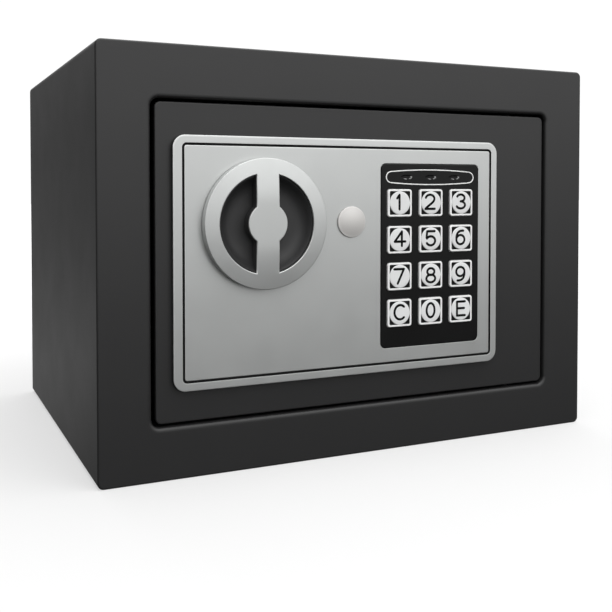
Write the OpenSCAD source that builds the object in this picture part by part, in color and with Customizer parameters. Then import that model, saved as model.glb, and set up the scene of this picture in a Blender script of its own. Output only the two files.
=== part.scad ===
// Small digital home safe: folded steel cabinet, recessed steel door on two
// hidden hinge pins, plastic fascia with a turn knob, a capped override lock
// and a twelve-key pad. Behind the door: two sliding bolts on a carriage, a
// crank, a solenoid latch, an inner cover, a battery box and a reset button.
// Frame: origin at the centre of the underside, +X to the right seen from the
// front, +Y to the back, +Z up. All sizes in millimetres.
// The drawn position is closed and unlocked: bolts back, knob bar upright.

/* [Cabinet] */
// Outer width of the cabinet
body_w = 230; // [228:1:260]
// Outer depth of the cabinet
body_d = 177; // [150:1:240]
// Outer height of the cabinet
body_h = 168; // [166:1:200]
// Sheet thickness of the cabinet
sheet_t = 1.5; // [1.2:0.1:2]
// Outer radius of the cabinet's long edges
edge_r = 2.5; // [2.2:0.1:3]
// Outer radius of the edge round the cabinet's face
front_r = 0.8; // [0.5:0.1:2]
// Width of the front frame around the doorway
frame_margin = 21; // [20:0.5:22]
// Depth of the flange turned inwards around the doorway
lip_depth = 12; // [11.5:0.25:12.5]
// Corner radius of the doorway
doorway_r = 3.5; // [2.5:0.5:4]
// Radius of each anchor hole in the back and in the floor
anchor_r = 4.5; // [4:0.25:5.5]
// Distance between the two anchor holes
anchor_pitch = 100; // [80:5:120]
// Thickness of the floor mat
mat_t = 2; // [1.5:0.25:3]

/* [Door] */
// Thickness of the door plate
door_t = 3; // [3:0.1:3.2]
// Gap between the door and the doorway all round
door_gap = 1.3; // [1.2:0.05:1.6]
// How far the door's face lies behind the cabinet's face
door_recess = 1.5; // [1.5:0.1:1.7]
// Distance of the hinge axis from the door's edge
hinge_inset = 16; // [15:0.25:16]
// Distance of the hinge axis behind the cabinet's face
hinge_back = 8; // [7.75:0.25:8]
// Radius of the hinge pins
pin_r = 2.5; // [2.2:0.1:2.6]

/* [Fascia and knob] */
// Width of the fascia
fascia_w = 151.6; // [148:0.1:152]
// Height of the fascia
fascia_h = 99; // [96:0.1:100]
// Thickness of the fascia
fascia_t = 2.5; // [2.4:0.1:2.6]
// Distance of the knob's axis left of the middle
knob_left = 48.6; // [48:0.1:50]
// Height of the knob and lock above the middle
knob_up = 14.6; // [14:0.1:16]
// Outer radius of the knob's ring
knob_r = 26.1; // [25:0.1:27]
// Inner radius of the knob's ring
knob_inner_r = 20; // [19.8:0.1:20.6]
// Width of the grip bar
grip_w = 9.8; // [9:0.1:10]
// How far the knob stands in front of the fascia
knob_h = 4.5; // [4:0.1:5]

/* [Keypad] */
// Width of one key
key_w = 12.2; // [12:0.05:12.3]
// Height of one key
key_h = 12.1; // [12:0.05:12.3]
// Spacing of the keys
key_pitch = 15.77; // [15.7:0.01:15.9]
// How far a key travels
key_travel = 0.8; // [0.4:0.1:0.8]

/* [Bolts] */
// Radius of the two locking bolts
bolt_r = 6; // [5:0.25:6]
// Distance between the two locking bolts
bolt_pitch = 70; // [68:1:70]
// Radius of the crank
crank_r = 8.5; // [8:0.1:8.5]

/* [Hidden] */

$fn = 64;

// Cabinet
hw = body_w / 2;                 // half width
yf = -body_d / 2;                // front face
yb = body_d / 2;                 // back face
zc = body_h / 2;                 // middle height
op_x = hw - frame_margin;        // half width of the doorway
op_z0 = frame_margin;
op_z1 = body_h - frame_margin;

// Door plate
dx = op_x - door_gap;            // half width of the door
dz0 = op_z0 + door_gap;
dz1 = op_z1 - door_gap;
dy0 = yf + door_recess;          // front of the door
dy1 = dy0 + door_t;              // back of the door
piv_x = dx - hinge_inset;        // hinge axis
piv_y = yf + hinge_back;

// Fascia, centred a little left of the middle of the door
fx = -10.35;
fy = dy0 - fascia_t;             // front of the fascia
knob_x = -knob_left;
knob_z = zc + knob_up;
lock_x = -9.2;
lock_z = knob_z;

// Keypad
kx = 29.65;                      // middle of the keypad
kz = zc;
kw = 50;                         // keypad plate
kh = 78.9;
px = kx + 0.45;                  // middle of the keypad plate
pz = kz - 0.35;
ky = fy - 0.3;                   // front of the keypad plate
key_z0 = zc + 22.55;             // top row of keys
led_z = zc + 33.45;
led_x = [17.6, 29.8, 42];
boss = [for (i = [-0.5, 0.5], j = [0.5, 2.5]) [kx + i * key_pitch, key_z0 - j * key_pitch]];
pcb_y0 = dy1 - 0.6;              // front of the circuit board
pcb_y1 = pcb_y0 + 1.6;

// Inner cover
cov_x0 = -dx + 4.7;
cov_x1 = piv_x - 14.7;
cov_z0 = dz0 + 4.7;
cov_z1 = dz1 - 4.7;
cov_y = dy1 + 34;                // back of the inner cover
cov_t = 1.2;
posts = [[-78, cov_z0 + 6], [-78, cov_z1 - 6], [55, cov_z0 + 6], [55, cov_z1 - 6]];

// Bolt work
bolt_y = dy1 + 15.5;
bolt_z = [zc - bolt_pitch / 2, zc + bolt_pitch / 2];
guide_x = cov_x0 + 1.5;          // left face of the bolt guide
plate_y = dy1 + 7;               // front of the carriage plate
car_x0 = guide_x + 16.5;         // left face of the carriage
car_x1 = -23;                    // right edge, the solenoid's stop
car_top = zc + 30;
slot_x = knob_x + crank_r * sin(45);
studs = [[-50, zc - 28], [-50, zc]];
bolt_travel = 12;
plunger_travel = 3;
rivets = [[-77, zc - 16], [-77, zc + 16]];
fascia_fix = [[-79.5, zc - 43], [-79.5, zc + 43], [57, zc - 43], [57, zc + 43]];

// Solenoid
sol_x = -32;
sol_y = dy1 + 8;
sol_z0 = zc + 39;
sol_z1 = zc + 55;

// Battery box
bat_z = [for (i = [0 : 3]) zc - 31.5 + 15 * i];
bat_y = cov_y - 11.8;
bat_x0 = 0.5;
bat_x1 = 59.5;
rst_x = 30;
rst_z = zc + 38;

// ---------- Shapes used more than once ----------

// A flat outline in X and Z, given thickness from y0 to y1
module slab(y0, y1) {
    translate([0, y1, 0]) rotate([90, 0, 0]) linear_extrude(height = y1 - y0) children();
}

// A rectangle with round corners
module rrect(x0, z0, x1, z1, r) {
    translate([x0 + r, z0]) square([x1 - x0 - 2 * r, z1 - z0]);
    translate([x0, z0 + r]) square([x1 - x0, z1 - z0 - 2 * r]);
    for (x = [x0 + r, x1 - r], z = [z0 + r, z1 - r]) translate([x, z]) circle(r = r, $fn = 48);
}

module box(x0, y0, z0, x1, y1, z1) {
    translate([x0, y0, z0]) cube([x1 - x0, y1 - y0, z1 - z0]);
}

module rod_y(x, z, y0, y1, r) {
    translate([x, y0, z]) rotate([-90, 0, 0]) cylinder(h = y1 - y0, r = r);
}

module rod_x(y, z, x0, x1, r) {
    translate([x0, y, z]) rotate([0, 90, 0]) cylinder(h = x1 - x0, r = r);
}

module rod_z(x, y, z0, z1, r) {
    translate([x, y, z0]) cylinder(h = z1 - z0, r = r);
}

// A turned shape about an axis along Y: outline as [radius, distance forwards of y]
module turned_y(x, y, z, pts) {
    translate([x, y, z]) rotate([90, 0, 0]) rotate_extrude($fn = 96) polygon(pts);
}

// A plate whose front edges are rounded with rf and whose corners with rc
module soft_plate(x0, z0, x1, z1, y0, y1, rc, rf) {
    intersection() {
        slab(y0, y1) rrect(x0, z0, x1, z1, rc);
        translate([0, 0, z0]) linear_extrude(height = z1 - z0) {
            translate([x0, y0 + rf]) square([x1 - x0, y1 - y0 - rf]);
            translate([x0 + rf, y0]) square([x1 - x0 - 2 * rf, y1 - y0]);
            for (x = [x0 + rf, x1 - rf]) translate([x, y0 + rf]) circle(r = rf, $fn = 48);
        }
        translate([x0, 0, 0]) rotate([90, 0, 90]) linear_extrude(height = x1 - x0) {
            translate([y0 + rf, z0]) square([y1 - y0 - rf, z1 - z0]);
            translate([y0, z0 + rf]) square([y1 - y0, z1 - z0 - 2 * rf]);
            for (z = [z0 + rf, z1 - rf]) translate([y0 + rf, z]) circle(r = rf, $fn = 48);
        }
    }
}

// Dome-headed screw or rivet along Y: head behind y, shank forwards of it
module screw_y(x, z, y, head_r, head_h, shank_r, shank_l) {
    rod_y(x, z, y - shank_l, y + 0.01, shank_r);
    difference() {
        rod_y(x, z, y, y + head_h, head_r);
        box(x - head_r * 0.6, y + head_h * 0.5, z - 0.4, x + head_r * 0.6, y + head_h + 1, z + 0.4);
        box(x - 0.4, y + head_h * 0.5, z - head_r * 0.6, x + 0.4, y + head_h + 1, z + head_r * 0.6);
    }
}

function bez(p, t) = pow(1 - t, 3) * p[0] + 3 * pow(1 - t, 2) * t * p[1] + 3 * (1 - t) * t * t * p[2] + pow(t, 3) * p[3];
function unit(v) = v / norm(v);

// A closed tube through the same number of points on each ring
module tube(rings) {
    n = len(rings[0]);
    last = len(rings) - 1;
    faces = concat(
        [[for (k = [n - 1 : -1 : 0]) k]],
        [[for (k = [0 : n - 1]) last * n + k]],
        [for (i = [0 : last - 1], k = [0 : n - 1])
            [i * n + k, i * n + (k + 1) % n, (i + 1) * n + k]],
        [for (i = [0 : last - 1], k = [0 : n - 1])
            [i * n + (k + 1) % n, (i + 1) * n + (k + 1) % n, (i + 1) * n + k]]);
    polyhedron(points = [for (q = rings, p = q) p], faces = faces, convexity = 10);
}

// A wire along a curve with four control points
module wire(p, r, up) {
    sides = 6;
    steps = 12;
    c = [for (i = [0 : steps]) bez(p, i / steps)];
    d = [for (i = [0 : steps]) unit(c[min(i + 1, steps)] - c[max(i - 1, 0)])];
    tube([for (i = [0 : steps]) let (a = unit(cross(d[i], up)), b = cross(a, d[i]))
        [for (k = [0 : sides - 1]) c[i] + r * (cos(360 * k / sides) * a + sin(360 * k / sides) * b)]]);
}

// A coil spring along Z, radius going from r0 to r1
module coil(r0, r1, wire_r, height, turns) {
    sides = 6;
    steps = 14 * turns;
    tube([for (i = [0 : steps])
        let (t = i / steps, a = 360 * turns * t, r = r0 + (r1 - r0) * t, z = wire_r + (height - 2 * wire_r) * t)
        [for (k = [0 : sides - 1]) let (b = 360 * k / sides)
            [(r + wire_r * cos(b)) * cos(a), (r + wire_r * cos(b)) * sin(a), z + wire_r * sin(b)]]]);
}

// ---------- Cabinet ----------

module body_shell() {
    color([0.13, 0.13, 0.14]) difference() {
        union() {
            difference() {
                soft_plate(-hw, 0, hw, body_h, yf, yb, edge_r, front_r);
                slab(yf + sheet_t, yb + 1) rrect(-hw + sheet_t, sheet_t, hw - sheet_t, body_h - sheet_t, edge_r - sheet_t);
                slab(yf - 1, yf + 5) rrect(-op_x, op_z0, op_x, op_z1, doorway_r);
            }
            // Flange turned inwards all round the doorway
            slab(yf + 0.4, yf + lip_depth) difference() {
                rrect(-op_x - sheet_t, op_z0 - sheet_t, op_x + sheet_t, op_z1 + sheet_t, doorway_r + sheet_t);
                rrect(-op_x, op_z0, op_x, op_z1, doorway_r);
            }
        }
        // Holes for the hinge pins
        rod_z(piv_x, piv_y, op_z1 - 2, op_z1 + sheet_t + 1, pin_r + 0.15);
        rod_z(piv_x, piv_y, op_z0 - sheet_t - 1, op_z0 + 2, pin_r + 0.15);
        // Anchor holes in the floor
        for (s = [-1, 1]) rod_z(s * anchor_pitch / 2, 10, -1, sheet_t + 1, anchor_r);
    }
}

module rear_panel() {
    color([0.14, 0.14, 0.15]) slab(yb - sheet_t, yb) difference() {
        rrect(-hw + sheet_t, sheet_t, hw - sheet_t, body_h - sheet_t, edge_r - sheet_t);
        for (s = [-1, 1]) translate([s * anchor_pitch / 2, zc]) circle(r = anchor_r);
    }
}

module hinge_lug(z0, z1) {
    difference() {
        box(piv_x - 11, yf + sheet_t, z0, piv_x + 11, piv_y + 8.5, z1);
        rod_z(piv_x, piv_y, z0 - 1, z1 + 1, pin_r + 0.05);
    }
}

module hinge_lugs() {
    color([0.5, 0.5, 0.52]) {
        hinge_lug(op_z1 + sheet_t, op_z1 + sheet_t + 3);
        hinge_lug(op_z0 - sheet_t - 3, op_z0 - sheet_t);
    }
}

module floor_mat() {
    color([0.16, 0.16, 0.17]) translate([0, 0, sheet_t]) linear_extrude(height = mat_t) difference() {
        rrect(-hw + sheet_t + 1, yf + lip_depth + 4, hw - sheet_t - 1, yb - sheet_t - 1, 2);
        for (s = [-1, 1]) translate([s * anchor_pitch / 2, 10]) circle(r = anchor_r + 2.5);
    }
}

// ---------- Door ----------

module door_plate() {
    color([0.14, 0.14, 0.15]) difference() {
        soft_plate(-dx, dz0, dx, dz1, dy0, dy1, 2, 0.8);
        slab(dy0 - 1, dy1 + 1) {
            rrect(kx - 23, kz - 37.5, kx + 23, kz + 37.5, 2);
            translate([knob_x, knob_z]) circle(r = 6.05);
            translate([lock_x, lock_z]) circle(r = 5.6);
            for (p = fascia_fix) translate(p) circle(r = 1.7);
            for (p = rivets) translate(p) circle(r = 2.05);
        }
        for (s = [-1, 1]) rod_y(sol_x + s * 7, sol_z0 + 8, dy0 + 0.6, dy1 + 1, 1.45);
    }
}

module fascia() {
    color([0.66, 0.66, 0.67]) difference() {
        soft_plate(fx - fascia_w / 2, zc - fascia_h / 2, fx + fascia_w / 2, zc + fascia_h / 2, fy, dy0, 5, 0.7);
        // Keypad opening, knob opening and key lock opening
        slab(fy - 1, dy0 + 1) rrect(px - kw / 2 - 0.1, pz - kh / 2 - 0.1, px + kw / 2 + 0.1, pz + kh / 2 + 0.1, 2.4);
        rod_y(knob_x, knob_z, fy - 1, dy0 + 1, 22);
        rod_y(lock_x, lock_z, fy - 1, dy0 + 1, 6.1);
        rod_y(lock_x, lock_z, dy0 - 1.4, dy0 + 1, 7.3);
        // Fine groove that follows the edge
        slab(fy - 1, fy + 0.4) difference() {
            rrect(fx - fascia_w / 2 + 3.1, zc - fascia_h / 2 + 3.1, fx + fascia_w / 2 - 3.1, zc + fascia_h / 2 - 3.1, 1.6);
            rrect(fx - fascia_w / 2 + 3.85, zc - fascia_h / 2 + 3.85, fx + fascia_w / 2 - 3.85, zc + fascia_h / 2 - 3.85, 0.85);
        }
        for (p = fascia_fix) rod_y(p[0], p[1], fy + 0.8, dy0 + 1, 1.45);
    }
}

// Outline of the indicator window, a shallow lens with rounded ends
module lens(g) {
    intersection() {
        rrect(kx + 0.15 - 22.35 - g, led_z - 3.3 - g, kx + 0.15 + 22.35 + g, led_z + 3.3 + g, 2.5 + g);
        translate([kx + 0.15, led_z + 3.2 + g - 244]) circle(r = 244, $fn = 720);
        translate([kx + 0.15, led_z - 3.2 - g + 244]) circle(r = 244, $fn = 720);
    }
}

module keypad_plate() {
    color([0.03, 0.03, 0.035]) difference() {
        union() {
            difference() {
                soft_plate(px - kw / 2, pz - kh / 2, px + kw / 2, pz + kh / 2, ky, dy0, 2.3, 0.4);
                slab(ky + 1.2, dy0 + 1) rrect(px - kw / 2 + 1.5, pz - kh / 2 + 1.5, px + kw / 2 - 1.5, pz + kh / 2 - 1.5, 1);
            }
            for (p = boss) rod_y(p[0], p[1], ky + 1, pcb_y0, 1.3);
        }
        slab(ky - 1, ky + 2) {
            for (i = [-1 : 1], j = [0 : 3])
                rrect(kx + i * key_pitch - key_w / 2 - 0.15, key_z0 - j * key_pitch - key_h / 2 - 0.15,
                      kx + i * key_pitch + key_w / 2 + 0.15, key_z0 - j * key_pitch + key_h / 2 + 0.15, 1.3);
            lens(0.05);
        }
        for (p = boss) rod_y(p[0], p[1], pcb_y0 - 3, pcb_y0 + 1, 0.8);
    }
}

module led_window() {
    color([0.05, 0.05, 0.06]) slab(ky - 0.1, ky + 1.2) lens(0);
}

module indicator_leds() {
    color([0.2, 0.7, 0.3]) for (x = led_x) {
        rod_y(x, led_z, ky + 1.6, pcb_y0 - 1, 1.5);
        rod_y(x, led_z, pcb_y0 - 1.01, pcb_y0, 1.9);
    }
}

module key_mat() {
    color([0.55, 0.56, 0.58]) difference() {
        union() {
            slab(pcb_y0 - 0.6, pcb_y0) rrect(kx - 22.3, kz - 36.7, kx + 22.3, kz + 29, 1);
            for (i = [-1 : 1], j = [0 : 3])
                rod_y(kx + i * key_pitch, key_z0 - j * key_pitch, pcb_y0 - 1.5, pcb_y0 - 0.5, 3.4);
        }
        for (p = boss) rod_y(p[0], p[1], pcb_y0 - 2, pcb_y0 + 1, 1.7);
    }
}

module keypad_pcb() {
    color([0.05, 0.32, 0.16]) difference() {
        union() {
            slab(pcb_y0, pcb_y1) rrect(kx - 22.3, kz - 36.7, kx + 22.3, kz + 36.8, 1);
            // Controller, buzzer and three connectors
            box(kx - 7, pcb_y1 - 0.1, kz - 8, kx + 7, pcb_y1 + 1.6, kz + 6);
            rod_y(kx + 14.5, kz - 14, pcb_y1 - 0.1, pcb_y1 + 4.2, 5);
            for (p = [[14, kz - 24], [14, kz + 16], [44, kz + 30]])
                box(p[0] - 3.5, pcb_y1 - 0.1, p[1] - 2.5, p[0] + 3.5, pcb_y1 + 5, p[1] + 2.5);
        }
        for (p = boss) rod_y(p[0], p[1], pcb_y0 - 1, pcb_y1 + 1, 0.95);
    }
}

module pcb_screws() {
    color([0.7, 0.7, 0.72]) for (p = boss) screw_y(p[0], p[1], pcb_y1, 1.7, 1, 0.7, 4.2);
}

module fascia_screws() {
    color([0.7, 0.7, 0.72]) for (p = fascia_fix) screw_y(p[0], p[1], dy1, 2.9, 1.7, 1.35, 4.4);
}

module hinge_bracket() {
    difference() {
        union() {
            box(piv_x - 7.5, dy1, dz1 - 24, piv_x + 7.5, dy1 + 2, dz1 - 0.5);
            for (z = [dz1 - 3, dz1 - 20])
                box(piv_x - 7.5, dy1, z, piv_x + 7.5, piv_y + 5.5, z + 2.5);
        }
        rod_z(piv_x, piv_y, dz1 - 22, dz1 + 1, pin_r);
        rod_z(piv_x, piv_y, dz1 - 25, dz1 - 20, pin_r + 1.2);
    }
}

module hinge_brackets() {
    color([0.5, 0.5, 0.52]) {
        hinge_bracket();
        translate([0, 0, 2 * zc]) mirror([0, 0, 1]) hinge_bracket();
    }
}

module hinge_pin() {
    rod_z(piv_x, piv_y, dz1 - 22, op_z1 + sheet_t + 4, pin_r);
    rod_z(piv_x, piv_y, dz1 - 23.5, dz1 - 21.9, pin_r + 0.9);
}

module hinge_pins() {
    color([0.75, 0.75, 0.77]) {
        hinge_pin();
        translate([0, 0, 2 * zc]) mirror([0, 0, 1]) hinge_pin();
    }
}

// Bent plate that guides both bolts at the door's free edge
module bolt_guide() {
    color([0.62, 0.6, 0.5]) difference() {
        union() {
            box(guide_x, dy1, zc - 46, guide_x + 2, bolt_y + 8, zc + 46);
            box(guide_x + 1, dy1, zc - 24, -72, dy1 + 2, zc + 24);
        }
        for (z = bolt_z) rod_x(bolt_y, z, guide_x - 1, guide_x + 3, bolt_r + 0.05);
        for (p = rivets) rod_y(p[0], p[1], dy1 - 1, dy1 + 3, 2.05);
    }
}

module guide_rivets() {
    color([0.7, 0.7, 0.72]) for (p = rivets) {
        rod_y(p[0], p[1], dy0 + 0.1, dy1 + 2, 2);
        rod_y(p[0], p[1], dy1 + 2, dy1 + 3.2, 3.4);
    }
}

// Shouldered studs that the carriage's slots run on
module guide_studs() {
    color([0.75, 0.75, 0.77]) for (p = studs) {
        rod_y(p[0], p[1], dy1, plate_y - 0.4, 4.2);
        rod_y(p[0], p[1], plate_y - 1, plate_y + 3, 2.5);
        rod_y(p[0], p[1], plate_y + 2.4, plate_y + 3.6, 4.2);
    }
}

module knob_bush() {
    color([0.75, 0.62, 0.35]) difference() {
        union() {
            rod_y(knob_x, knob_z, dy0 + 0.05, dy1 + 0.5, 6);
            rod_y(knob_x, knob_z, dy1, dy1 + 1.2, 8.5);
        }
        rod_y(knob_x, knob_z, dy0 - 1, dy1 + 2, 4.05);
    }
}

module solenoid_frame() {
    color([0.66, 0.65, 0.6]) difference() {
        union() {
            box(sol_x - 11, dy1, sol_z0, sol_x + 11, dy1 + 1.5, sol_z1);
            for (z = [sol_z0, sol_z1 - 1.5])
                box(sol_x - 11, dy1, z, sol_x + 11, sol_y + 7.5, z + 1.5);
        }
        rod_z(sol_x, sol_y, sol_z0 - 1, sol_z0 + 3, 2.55);
        for (s = [-1, 1]) rod_y(sol_x + s * 7, sol_z0 + 8, dy1 - 1, dy1 + 3, 1.45);
    }
}

module solenoid_coil() {
    color([0.55, 0.25, 0.1]) difference() {
        union() {
            rod_z(sol_x, sol_y, sol_z0 + 2.6, sol_z1 - 2.6, 5.8);
            for (z = [sol_z0 + 1.55, sol_z1 - 2.65]) rod_z(sol_x, sol_y, z, z + 1.1, 6.3);
        }
        rod_z(sol_x, sol_y, sol_z0 - 1, sol_z1 - 4, 2.7);
    }
}

module solenoid_screws() {
    color([0.7, 0.7, 0.72]) for (s = [-1, 1])
        screw_y(sol_x + s * 7, sol_z0 + 8, dy1 + 1.5, 2.2, 1.2, 1.35, 3.4);
}

module lock_body() {
    color([0.72, 0.72, 0.74]) difference() {
        union() {
            rod_y(lock_x, lock_z, dy0 - 1.2, dy0, 7);
            rod_y(lock_x, lock_z, dy0 - 0.1, dy1 + 17.5, 5.5);
        }
        rod_y(lock_x, lock_z, dy0 - 3, dy1 + 19, 3.65);
    }
}

module lock_nut() {
    color([0.7, 0.7, 0.72]) translate([lock_x, dy1, lock_z]) rotate([-90, 0, 0]) difference() {
        cylinder(h = 3.5, r = 9.2, $fn = 6);
        translate([0, 0, -1]) cylinder(h = 6, r = 5.55);
    }
}

module inner_cover() {
    color([0.15, 0.15, 0.16]) difference() {
        slab(dy1, cov_y) rrect(cov_x0, cov_z0, cov_x1, cov_z1, 2);
        slab(dy1 - 1, cov_y - cov_t) rrect(cov_x0 + cov_t, cov_z0 + cov_t, cov_x1 - cov_t, cov_z1 - cov_t, 0.8);
        // Bolts, cover screws, battery opening and reset button
        for (z = bolt_z) rod_x(bolt_y, z, cov_x0 - 1, cov_x0 + 3, bolt_r + 0.5);
        slab(cov_y - 3, cov_y + 1) {
            for (p = posts) translate(p) circle(r = 1.7);
            rrect(3, zc - 39, 57, zc + 21, 1);
            translate([rst_x, rst_z]) circle(r = 3.4);
        }
    }
}

module cover_posts() {
    color([0.72, 0.72, 0.74]) for (p = posts) difference() {
        rod_y(p[0], p[1], dy1, cov_y - cov_t, 3);
        rod_y(p[0], p[1], cov_y - cov_t - 9, cov_y, 1.3);
    }
}

module cover_screws() {
    color([0.2, 0.2, 0.21]) for (p = posts) screw_y(p[0], p[1], cov_y, 3.1, 1.7, 1.2, 8.5);
}

// ---------- Battery box and reset button ----------

module battery_holder() {
    color([0.06, 0.06, 0.07]) difference() {
        slab(cov_y - 20.5, cov_y - cov_t) rrect(bat_x0, zc - 41.5, bat_x1, zc + 23.5, 1.5);
        slab(cov_y - 19, cov_y) rrect(bat_x0 + 1.5, zc - 40, bat_x1 - 1.5, zc + 22, 1);
    }
}

// One cell along X, plus end to the right unless it is turned round
module battery_cell(z, turned) {
    translate([30, bat_y, z]) rotate([0, turned ? -90 : 90, 0]) {
        translate([0, 0, -24.7]) cylinder(h = 48.6, r = 7);
        translate([0, 0, 23.8]) cylinder(h = 1.45, r = 2.7);
        translate([0, 0, -25.25]) cylinder(h = 0.6, r = 5.5);
    }
}

module batteries() {
    color([0.72, 0.5, 0.2]) for (i = [0 : 3]) battery_cell(bat_z[i], i % 2 == 1);
}

module battery_contacts() {
    color([0.78, 0.78, 0.8]) for (i = [0 : 3]) {
        s = i % 2 == 0 ? 1 : -1;
        // Plate with a bump at the plus end, plate with a cone spring at the minus end
        translate([30 + s * 27.75, bat_y, bat_z[i]]) {
            cube([0.4, 9, 9], center = true);
            rotate([0, -s * 90, 0]) cylinder(h = 2.45, r = 2.8);
        }
        translate([30 - s * 27.75, bat_y, bat_z[i]]) cube([0.4, 10, 10], center = true);
        translate([30 - s * 27.5, bat_y, bat_z[i]]) rotate([0, s * 90, 0]) coil(4.4, 2.6, 0.35, 2.15, 2);
    }
}

module battery_cover() {
    color([0.08, 0.08, 0.09]) {
        slab(cov_y, cov_y + 1.4) rrect(0.8, zc - 41.2, 59.2, zc + 23.2, 3);
        slab(cov_y - cov_t, cov_y + 0.2) rrect(3.4, zc - 38.6, 56.6, zc + 20.6, 1);
        for (z = [13 : 2 : 19]) box(22, cov_y + 1.3, zc + z, 38, cov_y + 1.9, zc + z + 0.9);
    }
}

module reset_switch() {
    color([0.1, 0.1, 0.11]) difference() {
        box(rst_x - 6, cov_y - 13, rst_z - 6, rst_x + 6, cov_y - cov_t, rst_z + 6);
        rod_y(rst_x, rst_z, cov_y - 7.7, cov_y, 3.08);
    }
}

module reset_button() {
    color([0.7, 0.08, 0.06]) rod_y(rst_x, rst_z, cov_y - 5.5, cov_y + 1.6, 3);
}

// Pairs of wires to the solenoid, the battery box and the reset switch
module wire_harness() {
    color([0.6, 0.08, 0.06]) for (s = [0, 1]) {
        wire([[sol_x + 7.1, sol_y, sol_z0 + 9 - 2 * s], [-12, sol_y, sol_z0 + 9 - 2 * s],
              [14, -70, zc + 32 - 2 * s], [14, pcb_y1 + 5.4, zc + 17 - 2 * s]], 0.6, [0, 0, 1]);
        wire([[8, cov_y - 21.2, zc - 26 + 2 * s], [8, cov_y - 25, zc - 26 + 2 * s],
              [14, pcb_y1 + 9, zc - 25 + 2 * s], [14, pcb_y1 + 5.4, zc - 25 + 2 * s]], 0.6, [0, 0, 1]);
        wire([[rst_x + 3, cov_y - 8 - 2 * s, rst_z - 6.7], [rst_x + 4, cov_y - 10 - 2 * s, rst_z - 12],
              [44, pcb_y1 + 15, zc + 29 + 2 * s], [44, pcb_y1 + 5.4, zc + 29 + 2 * s]], 0.6, [1, 0, 0]);
    }
}

// ---------- Knob, crank and bolts ----------

module knob() {
    k = knob_h;
    color([0.6, 0.6, 0.61]) {
        turned_y(knob_x, fy, knob_z, [
            [knob_inner_r, -1.6], [knob_inner_r + 1.3, -1.6], [knob_inner_r + 1.3, 0.3], [knob_r, 0.3],
            [knob_r, k - 1.6], [knob_r - 0.6, k - 0.5], [knob_r - 1.7, k],
            [knob_inner_r + 0.9, k], [knob_inner_r, k - 0.6]]);
        intersection() {
            box(knob_x - grip_w / 2, fy - k, knob_z - 30, knob_x + grip_w / 2, fy - 0.5, knob_z + 30);
            rod_y(knob_x, knob_z, fy - 10, fy + 10, knob_inner_r + 0.5);
        }
        rod_y(knob_x, knob_z, fy - k - 0.3, fy - 0.5, 8.35);
    }
}

module knob_cup() {
    color([0.03, 0.03, 0.03]) difference() {
        union() {
            rod_y(knob_x, knob_z, fy + 1.3, fy + 2.1, knob_inner_r - 0.1);
            difference() {
                rod_y(knob_x, knob_z, fy - 3, fy + 2.1, knob_inner_r - 0.1);
                rod_y(knob_x, knob_z, fy - 4, fy + 3, knob_inner_r - 1.2);
            }
        }
        rod_y(knob_x, knob_z, fy - 5, fy + 5, 4.05);
        box(knob_x - grip_w / 2 - 0.1, fy - 5, knob_z - 30, knob_x + grip_w / 2 + 0.1, fy - 0.4, knob_z + 30);
    }
}

module knob_spindle() {
    color([0.75, 0.75, 0.77]) difference() {
        union() {
            rod_y(knob_x, knob_z, fy - 0.5, dy1 + 1.7, 4);
            box(knob_x - 2.8, dy1 + 1.6, knob_z - 2.8, knob_x + 2.8, dy1 + 4.7, knob_z + 2.8);
        }
        rod_y(knob_x, knob_z, dy1 - 2, dy1 + 6, 1.5);
    }
}

module crank() {
    color([0.62, 0.6, 0.5]) {
        difference() {
            translate([knob_x, 0, knob_z]) rotate([0, 45, 0]) slab(dy1 + 1.7, dy1 + 4.7) {
                circle(r = 7);
                translate([-4.2, 0]) square([8.4, crank_r]);
                translate([0, crank_r]) circle(r = 4.2);
            }
            box(knob_x - 2.8, dy1, knob_z - 2.8, knob_x + 2.8, dy1 + 6, knob_z + 2.8);
        }
        rod_y(slot_x, knob_z + crank_r * cos(45), dy1 + 4.6, plate_y + 3.4, 2);
    }
}

module crank_screw() {
    color([0.7, 0.7, 0.72]) screw_y(knob_x, knob_z, dy1 + 4.7, 3.6, 1.6, 1.4, 6);
}

module bolt_carriage() {
    color([0.62, 0.6, 0.5]) difference() {
        union() {
            slab(plate_y, plate_y + 2) {
                translate([car_x0, zc - 42]) square([car_x1 - car_x0, car_top - zc + 42]);
                translate([car_x0, zc - 42]) square([10, 84]);
            }
            box(car_x0, plate_y, zc - 42, car_x0 + 2, bolt_y + 7, zc + 42);
        }
        for (z = bolt_z) rod_x(bolt_y, z, car_x0 - 1, car_x0 + 3, 4);
        slab(plate_y - 1, plate_y + 3) {
            // Upright slot for the crank's pin
            translate([slot_x - 2.4, knob_z + 3]) square([4.8, 8.5]);
            // Level slots for the guide studs
            for (p = studs) translate([p[0], p[1]]) {
                translate([0, -2.65]) square([bolt_travel, 5.3]);
                for (x = [-0.1, bolt_travel + 0.1]) translate([x, 0]) circle(r = 2.65);
            }
            // Notch that the solenoid's plunger rests over when the bolts are back
            translate([sol_x - 3.1, car_top - 3.5]) square([6.2, 5]);
        }
    }
}

module locking_bolts() {
    color([0.78, 0.78, 0.8]) for (z = bolt_z) {
        translate([car_x0, bolt_y, z]) rotate([0, -90, 0]) {
            cylinder(h = 18.7, r = bolt_r);
            translate([0, 0, 18.7]) cylinder(h = 1, r1 = bolt_r, r2 = bolt_r - 1);
        }
        rod_x(bolt_y, z, car_x0 - 0.5, car_x0 + 3, 4);
        rod_x(bolt_y, z, car_x0 + 2, car_x0 + 3.4, 5.4);
    }
}

module solenoid_plunger() {
    color([0.75, 0.75, 0.77]) {
        rod_z(sol_x, sol_y, car_top + 0.6, sol_z1 - 4.5, 2.5);
        rod_z(sol_x, sol_y, car_top + 3.4, car_top + 4.2, 4.4);
    }
}

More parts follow.
